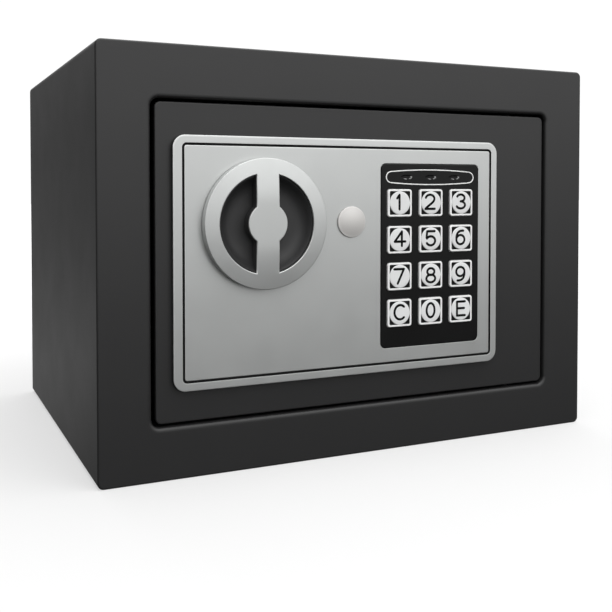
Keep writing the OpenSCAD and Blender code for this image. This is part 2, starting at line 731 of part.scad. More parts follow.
module plunger_spring() {
    color([0.8, 0.8, 0.82]) translate([sol_x, sol_y, car_top + 4.22]) coil(3.6, 3.6, 0.3, 4.75, 4);
}

// ---------- Override lock ----------

module lock_plug() {
    color([0.78, 0.68, 0.42]) difference() {
        rod_y(lock_x, lock_z, dy0 - 1.1, dy1 + 18.6, 3.6);
        box(lock_x - 0.5, dy0 - 2, lock_z - 2.6, lock_x + 0.5, dy0 + 14, lock_z + 2.6);
        rod_y(lock_x, lock_z, dy1 + 12, dy1 + 20, 1.3);
    }
}

module lock_cam() {
    color([0.62, 0.6, 0.5]) difference() {
        slab(dy1 + 18.6, dy1 + 20.6) {
            translate([lock_x, lock_z]) circle(r = 4.8);
            translate([lock_x - 3.5, lock_z - 13]) square([7, 13]);
            translate([lock_x, lock_z - 13]) circle(r = 3.5);
        }
        rod_y(lock_x, lock_z, dy1 + 17, dy1 + 22, 1.3);
    }
}

module cam_screw() {
    color([0.7, 0.7, 0.72]) screw_y(lock_x, lock_z, dy1 + 20.6, 2.9, 1.6, 1.2, 7);
}

module keyhole_cap() {
    color([0.64, 0.64, 0.63]) {
        intersection() {
            rod_y(lock_x, lock_z, fy - 1.7, fy - 0.05, 6.5);
            translate([lock_x, fy - 1.7 + 16, lock_z]) sphere(r = 16, $fn = 128);
        }
        difference() {
            rod_y(lock_x, lock_z, fy - 0.2, fy + 1.1, 6);
            rod_y(lock_x, lock_z, fy - 0.1, fy + 2, 5.2);
        }
    }
}

// ---------- Keys ----------

// One key: column 0 to 2 from the left, row 0 to 3 from the top
module key_at(col, row) {
    x = kx + (col - 1) * key_pitch;
    z = key_z0 - row * key_pitch;
    color([0.85, 0.85, 0.86]) {
        difference() {
            slab(ky - 0.7, ky + 1.4) rrect(x - key_w / 2, z - key_h / 2, x + key_w / 2, z + key_h / 2, 1.15);
            // Sunken corners around the round face
            slab(ky - 1, ky - 0.4) difference() {
                rrect(x - key_w / 2 + 1.15, z - key_h / 2 + 1.15, x + key_w / 2 - 1.15, z + key_h / 2 - 1.15, 0.5);
                translate([x, z]) circle(r = 5.05);
            }
        }
        slab(ky + 1.4, ky + 2.0) rrect(x - key_w / 2 - 0.5, z - key_h / 2 - 0.5, x + key_w / 2 + 0.5, z + key_h / 2 + 0.5, 0.8);
        rod_y(x, z, ky + 1.9, pcb_y0 - 2.4, 2.2);
    }
}

module key_1() { key_at(0, 0); }
module key_2() { key_at(1, 0); }
module key_3() { key_at(2, 0); }
module key_4() { key_at(0, 1); }
module key_5() { key_at(1, 1); }
module key_6() { key_at(2, 1); }
module key_7() { key_at(0, 2); }
module key_8() { key_at(1, 2); }
module key_9() { key_at(2, 2); }
module key_c() { key_at(0, 3); }
module key_0() { key_at(1, 3); }
module key_e() { key_at(2, 3); }

body_shell();
rear_panel();
hinge_lugs();
floor_mat();
door_plate();
fascia();
keypad_plate();
led_window();
indicator_leds();
key_mat();
keypad_pcb();
pcb_screws();
fascia_screws();
hinge_brackets();
hinge_pins();
bolt_guide();
guide_rivets();
guide_studs();
knob_bush();
solenoid_frame();
solenoid_coil();
solenoid_screws();
lock_body();
lock_nut();
inner_cover();
cover_posts();
cover_screws();
battery_holder();
batteries();
battery_contacts();
reset_switch();
wire_harness();
knob();
knob_cup();
knob_spindle();
crank();
crank_screw();
bolt_carriage();
locking_bolts();
solenoid_plunger();
plunger_spring();
lock_plug();
lock_cam();
cam_screw();
keyhole_cap();
battery_cover();
reset_button();
key_1();
key_2();
key_3();
key_4();
key_5();
key_6();
key_7();
key_8();
key_9();
key_c();
key_0();
key_e();
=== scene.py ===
import math
import bpy
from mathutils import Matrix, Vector
from mathutils.geometry import delaunay_2d_cdt


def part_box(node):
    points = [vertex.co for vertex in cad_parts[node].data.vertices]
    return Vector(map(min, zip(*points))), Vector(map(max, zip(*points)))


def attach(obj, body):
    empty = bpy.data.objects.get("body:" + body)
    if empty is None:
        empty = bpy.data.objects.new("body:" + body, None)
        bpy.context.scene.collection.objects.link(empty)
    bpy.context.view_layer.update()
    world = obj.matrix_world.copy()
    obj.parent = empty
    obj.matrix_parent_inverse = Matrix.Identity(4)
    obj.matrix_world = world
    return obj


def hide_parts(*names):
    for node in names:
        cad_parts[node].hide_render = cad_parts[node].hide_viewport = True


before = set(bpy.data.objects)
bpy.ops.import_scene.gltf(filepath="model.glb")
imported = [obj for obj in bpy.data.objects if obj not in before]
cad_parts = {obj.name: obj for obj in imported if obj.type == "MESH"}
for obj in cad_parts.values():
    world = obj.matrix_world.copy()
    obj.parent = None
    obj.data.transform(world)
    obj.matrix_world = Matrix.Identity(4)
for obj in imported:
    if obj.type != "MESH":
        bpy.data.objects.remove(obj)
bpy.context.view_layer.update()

MM = 0.001
scene = bpy.context.scene


# ---------------------------------------------------------------- mesh tools
# Shapes are written in millimetres in the CAD frame. Every face corner gets
# its exact normal, so flat faces stay flat and small radii shade cleanly.

def unit2(a, b):
    n = math.hypot(a, b) or 1.0
    return a / n, b / n


class Shape:
    def __init__(self):
        self.v, self.f, self.n, self.m, self.w = [], [], [], [], []

    def add(self, points, edge_wear_and_painted_light=0.0):
        start = len(self.v)
        for p in points:
            self.v.append(Vector(p))
            self.w.append(edge_wear_and_painted_light)
        return list(range(start, len(self.v)))

    def face(self, idx, normals, mat=0):
        total = Vector((0, 0, 0))
        for k in range(len(idx)):
            p, q = self.v[idx[k]], self.v[idx[(k + 1) % len(idx)]]
            total += Vector(((p.y - q.y) * (p.z + q.z), (p.z - q.z) * (p.x + q.x), (p.x - q.x) * (p.y + q.y)))
        want = Vector((0, 0, 0))
        for n in normals:
            want += n
        if total.dot(want) < 0:
            idx, normals = idx[::-1], normals[::-1]
        self.f.append(list(idx))
        self.n.extend(normals)
        self.m.append(mat)

    def skin(self, a, b, na, nb, mat=0, closed=True, skip=None):
        count = len(a)
        for i in range(count if closed else count - 1):
            j = (i + 1) % count
            if skip and skip(self.v[a[i]], self.v[a[j]]):
                continue
            self.face([a[i], a[j], b[j], b[i]], [na[i], na[j], nb[j], nb[i]], mat)

    def fill(self, outer, holes=(), normal=(0, -1, 0), mat=0, rule=None):
        """A flat face with holes, as triangles that use every point of its outlines."""
        n = Vector(normal)
        loops = [list(l) for l in [outer] + list(holes)]
        flat = [i for l in loops for i in l]
        drop = max(range(3), key=lambda k: abs(n[k]))
        keep = [k for k in range(3) if k != drop]
        at = [Vector((self.v[i][keep[0]], self.v[i][keep[1]])) for i in flat]
        edges, start = [], 0
        for l in loops:
            edges += [(start + k, start + (k + 1) % len(l)) for k in range(len(l))]
            start += len(l)
        made, _, tris, from_, _, _ = delaunay_2d_cdt(at, edges, [], 0, 1e-6, True)
        if len(made) != len(flat):
            raise RuntimeError("an outline crosses or repeats a point, %d and %d" % (len(made), len(flat)))
        back = [flat[f[0]] for f in from_]
        sides = [(at[a], at[b]) for a, b in edges]
        for t in tris:
            c = (made[t[0]] + made[t[1]] + made[t[2]]) / 3
            inside = False
            for p, q in sides:
                if (p.y > c.y) != (q.y > c.y) and c.x < p.x + (q.x - p.x) * (c.y - p.y) / (q.y - p.y):
                    inside = not inside
            if inside:
                idx = [back[k] for k in t]
                self.face(idx, [rule(self.v[i]) if rule else n for i in idx], mat)

    def piece(self, name, mats, body, nodes=()):
        me = bpy.data.meshes.new(name)
        me.from_pydata([v * MM for v in self.v], [], self.f)
        for m in mats:
            me.materials.append(m)
        me.polygons.foreach_set("material_index", self.m)
        me.polygons.foreach_set("use_smooth", [True] * len(self.f))
        # Mask of points on small rounded edges, used by the materials' edge colour: wear and painted edge light.
        edge_wear_and_painted_light = me.attributes.new("edge_wear_and_painted_light", "FLOAT", "POINT")
        edge_wear_and_painted_light.data.foreach_set("value", self.w)
        me.update()
        me.normals_split_custom_set([n.normalized() for n in self.n])
        ob = bpy.data.objects.new(name, me)
        scene.collection.objects.link(ob)
        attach(ob, body)
        if nodes:
            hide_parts(*nodes)
        return ob


# Outlines in X and Z. Each is a function of o, how far the outline is moved
# outwards, and gives points and outward normals.

def rr(x0, z0, x1, z1, r, n=8, side=0):
    """Rectangle with round corners; side adds points along each straight side."""
    def make(o):
        rad = max(r + o, 0.03)
        pts, nor = [], []
        corners = ((x1 + o - rad, z1 + o - rad, 0), (x0 - o + rad, z1 + o - rad, 90),
                   (x0 - o + rad, z0 - o + rad, 180), (x1 + o - rad, z0 - o + rad, 270))
        for c, (cx, cz, a0) in enumerate(corners):
            for k in range(n + 1):
                a = math.radians(a0 + 90 * k / n)
                pts.append((cx + rad * math.cos(a), cz + rad * math.sin(a)))
                nor.append((math.cos(a), math.sin(a)))
            nx, nz, b0 = corners[(c + 1) % 4]
            a, b = pts[-1], (nx + rad * math.cos(math.radians(b0)), nz + rad * math.sin(math.radians(b0)))
            for k in range(1, side + 1):
                t = k / (side + 1)
                pts.append((a[0] + (b[0] - a[0]) * t, a[1] + (b[1] - a[1]) * t))
                nor.append(nor[-1])
        return pts, nor
    return make


def circ(cx, cz, r, n=48):
    def make(o):
        return ([(cx + (r + o) * math.cos(2 * math.pi * k / n), cz + (r + o) * math.sin(2 * math.pi * k / n)) for k in range(n)],
                [(math.cos(2 * math.pi * k / n), math.sin(2 * math.pi * k / n)) for k in range(n)])
    return make


def oval(cx, cz, a, b, n=40):
    def make(o):
        p = [((a + o) * math.cos(2 * math.pi * k / n), (b + o) * math.sin(2 * math.pi * k / n)) for k in range(n)]
        return [(cx + x, cz + z) for x, z in p], [unit2(x / (a * a), z / (b * b)) for x, z in p]
    return make


def outline(points):
    """Any closed outline, anticlockwise; it is offset along its own corner normals."""
    count = len(points)
    out = []
    for i in range(count):
        p, q, r = points[i - 1], points[i], points[(i + 1) % count]
        a = unit2(q[1] - p[1], p[0] - q[0])
        b = unit2(r[1] - q[1], q[0] - r[0])
        m = unit2(a[0] + b[0], a[1] + b[1])
        scale = 1 / max(0.45, m[0] * a[0] + m[1] * a[1])
        out.append((m, scale))
    def make(o):
        return [(p[0] + m[0] * s * o, p[1] + m[1] * s * o) for p, (m, s) in zip(points, out)], [m for m, s in out]
    return make


def profile_normals(prof, sign, n0=None, n1=None):
    """Two normals for each profile point, (before, after); a crease over 50 degrees stays sharp."""
    seg = []
    for a, b in zip(prof, prof[1:]):
        do, dy = b[0] - a[0], b[1] - a[1]
        length = math.hypot(do, dy) or 1e-9
        seg.append((sign * -dy / length, sign * do / length, length))
    res = []
    for i in range(len(prof)):
        before = seg[i - 1] if i > 0 else (n0 + (1e3,) if n0 else seg[0])
        after = seg[i] if i < len(seg) else (n1 + (1e3,) if n1 else seg[-1])
        if before[0] * after[0] + before[1] * after[1] > 0.64:
            wa, wb = before[2] ** 1.5, after[2] ** 1.5
            n = unit2(before[0] * wa + after[0] * wb, before[1] * wa + after[1] * wb)
            res.append((n, n))
        else:
            res.append((before[:2], after[:2]))
    return res


def sweep(s, contour, prof, hole=False, n0=None, n1=None, skip=None, mats=None, warp=None):
    """Carries an outline along a profile of (outward, y) points, from the back to the front."""
    sign = -1 if hole else 1
    pn = profile_normals(prof, sign, n0, n1)
    rings = []
    for i, (o, y) in enumerate(prof):
        pts, nor = contour(o)
        near = [math.hypot(prof[k + 1][0] - prof[k][0], prof[k + 1][1] - prof[k][1]) for k in (i - 1, i) if 0 <= k < len(prof) - 1]
        # A point between two short profile steps is on a small rounded edge and gets the edge colour: wear and painted
        # edge light.
        edge_wear_and_painted_light = 1.0 if len(near) == 2 and max(near) < 0.6 else 0.0
        idx = s.add([(p[0], y, p[1]) for p in pts], edge_wear_and_painted_light)
        if warp:
            for k in idx:
                warp(s.v[k])
        before, after = ([Vector((n[0] * q[0], q[1], n[1] * q[0])) for n in nor] for q in pn[i])
        rings.append((idx, before, after))
    for i in range(len(rings) - 1):
        s.skin(rings[i][0], rings[i + 1][0], rings[i][2], rings[i + 1][1], mats[i] if mats else 0, skip=skip)
    return rings[0][0], rings[-1][0], [r[0] for r in rings]


def arc(co, cy, r, a0, a1, n=6):
    """Points of a profile arc; angle 0 points outwards and 90 to the front."""
    return [(co + r * math.cos(math.radians(a0 + (a1 - a0) * k / n)), cy - r * math.sin(math.radians(a0 + (a1 - a0) * k / n)))
            for k in range(n + 1)]


def lathe(s, centre, axis, prof, n=64, mats=None, closed=False):
    """Turns a profile of (radius, height along axis), from the low end to the high end along the outside. A closed profile makes a ring."""
    if closed:
        prof = list(prof) + [prof[0]]
    a = Vector(axis)
    u = Vector((0, 0, 1)) if abs(a.z) < 0.9 else Vector((1, 0, 0))
    w = a.cross(u)
    c = Vector(centre)
    seg = []
    for p, q in zip(prof, prof[1:]):
        dr, dh = q[0] - p[0], q[1] - p[1]
        length = math.hypot(dr, dh) or 1e-9
        seg.append((dh / length, -dr / length, length))
    rings = []
    for i, (r, h) in enumerate(prof):
        before = seg[i - 1] if i > 0 or closed else seg[0]
        after = seg[i % len(seg)] if i < len(seg) or closed else seg[-1]
        if before[0] * after[0] + before[1] * after[1] > 0.64:
            wa, wb = before[2] ** 1.5, after[2] ** 1.5
            m = unit2(before[0] * wa + after[0] * wb, before[1] * wa + after[1] * wb)
            nn = (m, m)
        else:
            nn = (before[:2], after[:2])
        near = [seg[k][2] for k in (i - 1, i) if 0 <= k < len(seg)]
        # A point between two short profile steps is on a small rounded edge and gets the edge colour: wear and painted
        # edge light.
        edge_wear_and_painted_light = 1.0 if len(near) == 2 and max(near) < 0.6 else 0.0
        if r < 1e-6:
            idx = s.add([c + a * h], edge_wear_and_painted_light) * n
            rings.append((idx, [a * math.copysign(1, after[1] if i == 0 else before[1])] * n, [a * math.copysign(1, after[1] if i == 0 else before[1])] * n, True))
            continue
        dirs = [u * math.cos(2 * math.pi * k / n) + w * math.sin(2 * math.pi * k / n) for k in range(n)]
        idx = rings[0][0] if closed and i == len(prof) - 1 else s.add([c + d * r + a * h for d in dirs], edge_wear_and_painted_light)
        rings.append((idx, [d * nn[0][0] + a * nn[0][1] for d in dirs], [d * nn[1][0] + a * nn[1][1] for d in dirs], False))
    for i in range(len(rings) - 1):
        A, B, mat = rings[i], rings[i + 1], mats[i] if mats else 0
        for k in range(n):
            j = (k + 1) % n
            if A[3]:
                s.face([A[0][0], B[0][j], B[0][k]], [A[2][k], B[1][j], B[1][k]], mat)
            elif B[3]:
                s.face([A[0][k], A[0][j], B[0][0]], [A[2][k], A[2][j], B[1][k]], mat)
            else:
                s.face([A[0][k], A[0][j], B[0][j], B[0][k]], [A[2][k], A[2][j], B[1][j], B[1][k]], mat)
    return rings


def stroke(path, width, closed=False, cap=7):
    """Outline of a pen stroke with round ends, as one loop, or two loops if the path is closed."""
    h = width / 2
    n = len(path)
    side = []
    for i in range(n):
        p = path[(i - 1) % n] if closed or i > 0 else path[i]
        q = path[(i + 1) % n] if closed or i < n - 1 else path[i]
        side.append(unit2(-(q[1] - p[1]), q[0] - p[0]))
    left = [(p[0] + d[0] * h, p[1] + d[1] * h) for p, d in zip(path, side)]
    right = [(p[0] - d[0] * h, p[1] - d[1] * h) for p, d in zip(path, side)]
    if closed:
        return [left, right]
    def cap_at(p, d, turn):
        a0 = math.atan2(d[1], d[0])
        return [(p[0] + h * math.cos(a0 + turn * math.pi * k / cap), p[1] + h * math.sin(a0 + turn * math.pi * k / cap)) for k in range(1, cap)]
    end = cap_at(path[-1], side[-1], -1)
    start = cap_at(path[0], (-side[0][0], -side[0][1]), -1)
    return [left + end + right[::-1] + start]


def ell(cx, cz, a, b, t0, t1, n=16):
    return [(cx + a * math.cos(math.radians(t0 + (t1 - t0) * k / n)), cz + b * math.sin(math.radians(t0 + (t1 - t0) * k / n))) for k in range(n + 1)]


def line(*pts, n=1):
    out = []
    for p, q in zip(pts, pts[1:]):
        out += [(p[0] + (q[0] - p[0]) * k / n, p[1] + (q[1] - p[1]) * k / n) for k in range(n)]
    return out + [pts[-1]]


def bezier(p0, p1, p2, p3, n=12):
    return [tuple((1 - t) ** 3 * a + 3 * (1 - t) ** 2 * t * b + 3 * (1 - t) * t * t * c + t ** 3 * d
                  for a, b, c, d in zip(p0, p1, p2, p3)) for t in (k / n for k in range(n + 1))]


# Numerals drawn from pen strokes in a box 1 wide and 1 high, centred on 0.
GLYPHS = {
    "1": [(line((-0.26, 0.27), (0.02, 0.5)), False), (line((0.02, 0.5), (0.02, -0.5)), False)],
    "2": [(ell(0, 0.22, 0.42, 0.28, 165, -8, 14) + bezier((0.41, 0.17), (0.36, -0.08), (-0.1, -0.2), (-0.44, -0.5), 10)[1:], False),
          (line((-0.44, -0.5), (0.46, -0.5)), False)],
    "3": [(ell(-0.02, 0.255, 0.40, 0.245, 155, -90, 18), False), (ell(-0.02, -0.245, 0.45, 0.255, 90, -155, 18), False)],
    "4": [(line((0.17, 0.5), (-0.47, -0.2)), False), (line((-0.47, -0.2), (0.48, -0.2)), False), (line((0.17, 0.5), (0.17, -0.5)), False)],
    "5": [(line((0.38, 0.5), (-0.34, 0.5)), False), (line((-0.34, 0.5), (-0.40, 0.06)), False),
          (ell(0.0, -0.18, 0.43, 0.32, 148, -150, 22), False)],
    "6": [(ell(0, -0.17, 0.41, 0.33, 0, 360, 30)[:-1], True), (bezier((-0.405, -0.13), (-0.44, 0.25), (-0.22, 0.5), (0.28, 0.47), 12), False)],
    "7": [(line((-0.42, 0.5), (0.42, 0.5)), False), (line((0.42, 0.5), (-0.12, -0.5)), False)],
    "8": [(ell(0, 0.26, 0.34, 0.24, 0, 360, 28)[:-1], True), (ell(0, -0.23, 0.42, 0.27, 0, 360, 30)[:-1], True)],
    "9": [(ell(0, 0.17, 0.41, 0.33, 0, 360, 30)[:-1], True), (bezier((0.405, 0.13), (0.44, -0.25), (0.22, -0.5), (-0.28, -0.47), 12), False)],
    "0": [(ell(0, 0, 0.41, 0.5, 0, 360, 36)[:-1], True)],
    "C": [(ell(0.05, 0, 0.47, 0.5, 48, 312, 26), False)],
    "E": [(line((-0.36, 0.5), (-0.36, -0.5)), False), (line((-0.36, 0.5), (0.40, 0.5)), False),
          (line((-0.36, 0.02), (0.32, 0.02)), False), (line((-0.36, -0.5), (0.40, -0.5)), False)],
}


# ---------------------------------------------------------------- materials

class Graph:
    def __init__(self, name):
        self.mat = bpy.data.materials.new(name)
        self.mat.use_nodes = True
        self.t = self.mat.node_tree
        self.p = self.t.nodes["Principled BSDF"]
        self.at = self.t.nodes.new("ShaderNodeTexCoord").outputs["Object"]

    def node(self, kind, **kw):
        n = self.t.nodes.new(kind)
        for k, v in kw.items():
            setattr(n, k, v)
        return n

    def link(self, a, b):
        self.t.links.new(a, b)

    def noise(self, scale, detail=3.0, rough=0.5, stretch=None, shift=(0, 0, 0)):
        n = self.node("ShaderNodeTexNoise")
        n.inputs["Scale"].default_value = scale
        n.inputs["Detail"].default_value = detail
        n.inputs["Roughness"].default_value = rough
        m = self.node("ShaderNodeMapping")
        m.inputs["Location"].default_value = shift
        if stretch:
            m.inputs["Scale"].default_value = stretch
        self.link(self.at, m.inputs["Vector"])
        self.link(m.outputs["Vector"], n.inputs["Vector"])
        return n.outputs["Fac"]

    def span(self, value, a, b, lo=0.3, hi=0.7):
        n = self.node("ShaderNodeMapRange")
        n.inputs["From Min"].default_value = lo
        n.inputs["From Max"].default_value = hi
        n.inputs["To Min"].default_value = a
        n.inputs["To Max"].default_value = b
        self.link(value, n.inputs["Value"])
        return n.outputs["Result"]

    def mix(self, factor, a, b):
        n = self.node("ShaderNodeMix", data_type="RGBA")
        self.link(factor, n.inputs["Factor"])
        for sock, c in ((n.inputs[6], a), (n.inputs[7], b)):
            if hasattr(c, "is_linked") or isinstance(c, bpy.types.NodeSocket):
                self.link(c, sock)
            else:
                sock.default_value = (*c, 1)
        return n.outputs[2]

    def maths(self, op, a, b):
        n = self.node("ShaderNodeMath", operation=op)
        for sock, c in ((n.inputs[0], a), (n.inputs[1], b)):
            if isinstance(c, (int, float)):
                sock.default_value = c
            else:
                self.link(c, sock)
        return n.outputs[0]

    def bump(self, height, distance, strength=1.0, under=None):
        n = self.node("ShaderNodeBump")
        n.inputs["Strength"].default_value = strength
        n.inputs["Distance"].default_value = distance
        self.link(height, n.inputs["Height"])
        if under is not None:
            self.link(under, n.inputs["Normal"])
        return n.outputs["Normal"]

    def edge_wear_and_painted_light(self):
        n = self.node("ShaderNodeAttribute", attribute_name="edge_wear_and_painted_light")
        return n.outputs["Fac"]


def surface(name, base, rough, metal=0.0, spec=0.5, var=0.10, rough_var=0.06, scale=40, fine=1500, height=0.00002,
            strength=0.5, coat=0.0, coat_rough=0.1, edge=None, edge_wear_and_light_amount=0.5, grain=None, ior=None, warm=0.0):
    """A moulded, painted or plated surface: cloudy colour, uneven gloss, fine relief, and in patches an edge colour on
    small rounded edges that is partly wear and partly painted light (a lighter edge is a painted highlight, a darker
    one painted shade).
    """
    g = Graph(name)
    p = g.p
    cloud = g.noise(scale, 4.0, 0.55)
    lowc = tuple(c * (1 - var) for c in base)
    highc = (base[0] * (1 + var + warm), base[1] * (1 + var), base[2] * (1 + var - warm))
    colour = g.mix(g.span(cloud, 0, 1), lowc, highc)
    # Edge colour in patches on small rounded edges: partly wear, partly painted light; a lighter edge colour is a
    # painted highlight, a darker one painted shade.
    if edge:
        spots = g.span(g.noise(scale * 12, 3.0, 0.6, shift=(3, 1, 2)), 0.45, 1.0, 0.35, 0.65)
        amount = g.maths("MULTIPLY", g.maths("MULTIPLY", g.edge_wear_and_painted_light(), spots), edge_wear_and_light_amount)
        colour = g.mix(amount, colour, edge)
    g.link(colour, p.inputs["Base Color"])
    small = g.noise(fine, 2.0, 0.5, stretch=grain)
    patch = g.noise(scale * 2.3, 3.0, 0.6, shift=(7, 7, 7))
    r = g.maths("ADD", g.span(patch, rough - rough_var, rough + rough_var), g.span(small, -rough_var * 0.5, rough_var * 0.5))
    g.link(r, p.inputs["Roughness"])
    g.link(g.bump(small, height, strength), p.inputs["Normal"])
    p.inputs["Metallic"].default_value = metal
    p.inputs["Specular IOR Level"].default_value = spec
    if ior:
        p.inputs["IOR"].default_value = ior
    if coat:
        p.inputs["Coat Weight"].default_value = coat
        p.inputs["Coat Roughness"].default_value = coat_rough
    return g.mat


# The charcoal coat's darker edge colour lays a dark line along its rounded edges: painted shade.
PAINT = surface("charcoal_powder_coat", (0.0163, 0.0163, 0.0166), 0.37, spec=0.41, var=0.035, rough_var=0.015, scale=18, fine=1700,
                height=0.000035, strength=0.35, edge=(0.010, 0.010, 0.010), edge_wear_and_light_amount=0.5)
# The door coat's lighter edge colour is a painted highlight along the door's rounded edges.
DOOR_PAINT = surface("charcoal_door_coat", (0.0158, 0.0158, 0.0161), 0.37, spec=0.40, var=0.035, rough_var=0.015, scale=20, fine=1700,
                     height=0.000032, strength=0.35, edge=(0.030, 0.030, 0.031), edge_wear_and_light_amount=0.4)
INNER_PAINT = surface("charcoal_inner_coat", (0.024, 0.024, 0.0245), 0.48, spec=0.42, var=0.12, scale=30, fine=1500,
                      height=0.00004, strength=0.4, edge=(0.06, 0.06, 0.062), edge_wear_and_light_amount=0.30)
# The silver finishes' lighter edge colours are painted highlights along their rounded edges.
SILVER = surface("silver_moulding", (0.502, 0.513, 0.507), 0.34, metal=0.75, var=0.018, rough_var=0.03, scale=30, fine=2600,
                 height=0.000012, strength=0.30, edge=(0.66, 0.67, 0.66), edge_wear_and_light_amount=0.6)
# A slightly lighter copy of the silver for the rim band and the rounded hole edges: its lighter tone is a painted
# highlight.
SILVER_RIM_LIT = surface("silver_rim_painted_highlight", (0.510, 0.521, 0.515), 0.32, metal=0.72, var=0.018, rough_var=0.03, scale=30, fine=2600,
                     height=0.000010, strength=0.30, edge=(0.66, 0.67, 0.66), edge_wear_and_light_amount=0.6)
SILVER_KNOB = surface("silver_knob", (0.506, 0.517, 0.511), 0.33, metal=0.75, var=0.02, rough_var=0.03, scale=45, fine=2600,
                      height=0.000010, strength=0.30, edge=(0.62, 0.63, 0.62), edge_wear_and_light_amount=0.5)
CAP = surface("pearl_cap", (0.560, 0.548, 0.532), 0.48, metal=0.20, var=0.02, rough_var=0.03, scale=60, fine=3000,
              height=0.000008, strength=0.30, edge=(0.72, 0.70, 0.69), edge_wear_and_light_amount=0.4)
BLACK_GROOVE = surface("black_groove", (0.006, 0.006, 0.006), 0.6, spec=0.2, var=0.2, scale=60)
# Near black for the fascia's outer side wall, which faces away from the light: painted shade.
FASCIA_WALL_SHADE = surface("fascia_wall_painted_shade", (0.020, 0.020, 0.020), 0.5, spec=0.35, var=0.1, scale=60)
BLACK_CUP = surface("black_cup", (0.027, 0.027, 0.0275), 0.50, spec=0.38, var=0.08, rough_var=0.03, scale=60, fine=2200, height=0.00001)
GLOSS = surface("black_gloss_panel", (0.0090, 0.0091, 0.0091), 0.10, spec=0.11, var=0.10, rough_var=0.02, scale=60, fine=1800,
                height=0.000005, strength=0.3)
LENS = surface("window_lens_black", (0.0088, 0.0088, 0.0090), 0.10, spec=0.12, var=0.10, rough_var=0.03, scale=70, fine=900, height=0.000006)
WHITE_INK = surface("white_ink", (0.90, 0.90, 0.89), 0.45, var=0.04, scale=90, fine=3200, height=0.000006)
# Mirror finish with a clear coat; on the indicator window it covers only parts of the dish walls, as painted
# highlights.
LAMP = surface("lamp_lens", (0.17, 0.17, 0.17), 0.12, metal=1.0, spec=0.5, var=0.25, rough_var=0.03, scale=300, fine=2600, height=0.00001, coat=1.0, coat_rough=0.05)
KEY_RIM = surface("key_rim", (0.86, 0.86, 0.855), 0.26, metal=0.0, var=0.015, rough_var=0.03, scale=90, fine=3000,
                  height=0.000006, coat=0.4, coat_rough=0.08)
KEY_FACE = surface("key_face", (0.74, 0.745, 0.745), 0.34, metal=0.0, var=0.02, rough_var=0.03, scale=90, fine=3000, height=0.000006)
KEY_BLACK = surface("key_corner_black", (0.004, 0.004, 0.004), 0.50, spec=0.15, var=0.15, scale=120, fine=2600, height=0.000008)
INK = surface("black_ink", (0.003, 0.003, 0.003), 0.60, spec=0.08, var=0.2, scale=150, fine=4000, height=0.000004)
STEEL = surface("zinc_plated_steel", (0.50, 0.51, 0.53), 0.30, metal=1.0, var=0.09, rough_var=0.08, scale=110, fine=900,
                height=0.00002, strength=0.5, edge=(0.75, 0.75, 0.77), edge_wear_and_light_amount=0.5)
YELLOW_ZINC = surface("yellow_zinc", (0.52, 0.44, 0.25), 0.34, metal=1.0, var=0.14, rough_var=0.10, scale=70, fine=700,
                      height=0.00003, strength=0.5, warm=0.06)
CHROME = surface("bright_bolt_steel", (0.66, 0.66, 0.675), 0.16, metal=1.0, var=0.04, rough_var=0.05, scale=80, fine=500,
                 height=0.00001, strength=0.4, grain=(8, 1, 1), edge=(0.85, 0.85, 0.86), edge_wear_and_light_amount=0.6)
BRASS = surface("brass", (0.60, 0.44, 0.17), 0.26, metal=1.0, var=0.10, rough_var=0.07, scale=130, fine=900, height=0.00002)
BLACK_PLASTIC = surface("black_abs", (0.016, 0.016, 0.017), 0.46, spec=0.45, var=0.12, scale=60, fine=1300, height=0.00005, strength=0.45,
                        edge=(0.04, 0.04, 0.04), edge_wear_and_light_amount=0.4)
BLACK_OXIDE = surface("black_oxide_hinge", (0.007, 0.007, 0.0075), 0.55, spec=0.15, var=0.2, rough_var=0.1, scale=80, fine=1500, height=0.00002, strength=0.3)
BLACK_SCREW = surface("black_oxide_screw", (0.030, 0.030, 0.032), 0.36, metal=0.8, var=0.2, rough_var=0.1, scale=300, fine=2400, height=0.00001,
                      edge=(0.25, 0.25, 0.26), edge_wear_and_light_amount=0.6)
RED_PLASTIC = surface("red_button", (0.42, 0.012, 0.010), 0.30, var=0.06, scale=200, fine=2600, height=0.00001, coat=0.3)
SILICONE = surface("grey_silicone", (0.20, 0.21, 0.22), 0.62, spec=0.3, var=0.08, scale=90, fine=1500, height=0.00003)
COIL_TAPE = surface("coil_tape", (0.36, 0.13, 0.03), 0.34, var=0.16, scale=60, fine=900, height=0.00003, grain=(1, 1, 9))
WIRE = surface("wire_insulation", (0.34, 0.016, 0.014), 0.42, var=0.08, scale=200, fine=2000, height=0.00001)


def board_material():
    g = Graph("circuit_board")
    n = g.node("ShaderNodeTexVoronoi", feature="DISTANCE_TO_EDGE")
    n.inputs["Scale"].default_value = 210
    g.link(g.at, n.inputs["Vector"])
    tracks = g.span(n.outputs["Distance"], 1.0, 0.0, 0.02, 0.05)
    cloud = g.mix(g.span(g.noise(50), 0, 1), (0.012, 0.115, 0.045), (0.018, 0.150, 0.060))
    g.link(g.mix(tracks, cloud, (0.030, 0.21, 0.09)), g.p.inputs["Base Color"])
    g.link(g.span(g.noise(300), 0.28, 0.42), g.p.inputs["Roughness"])
    g.link(g.bump(tracks, 0.00003, 0.6), g.p.inputs["Normal"])
    return g.mat


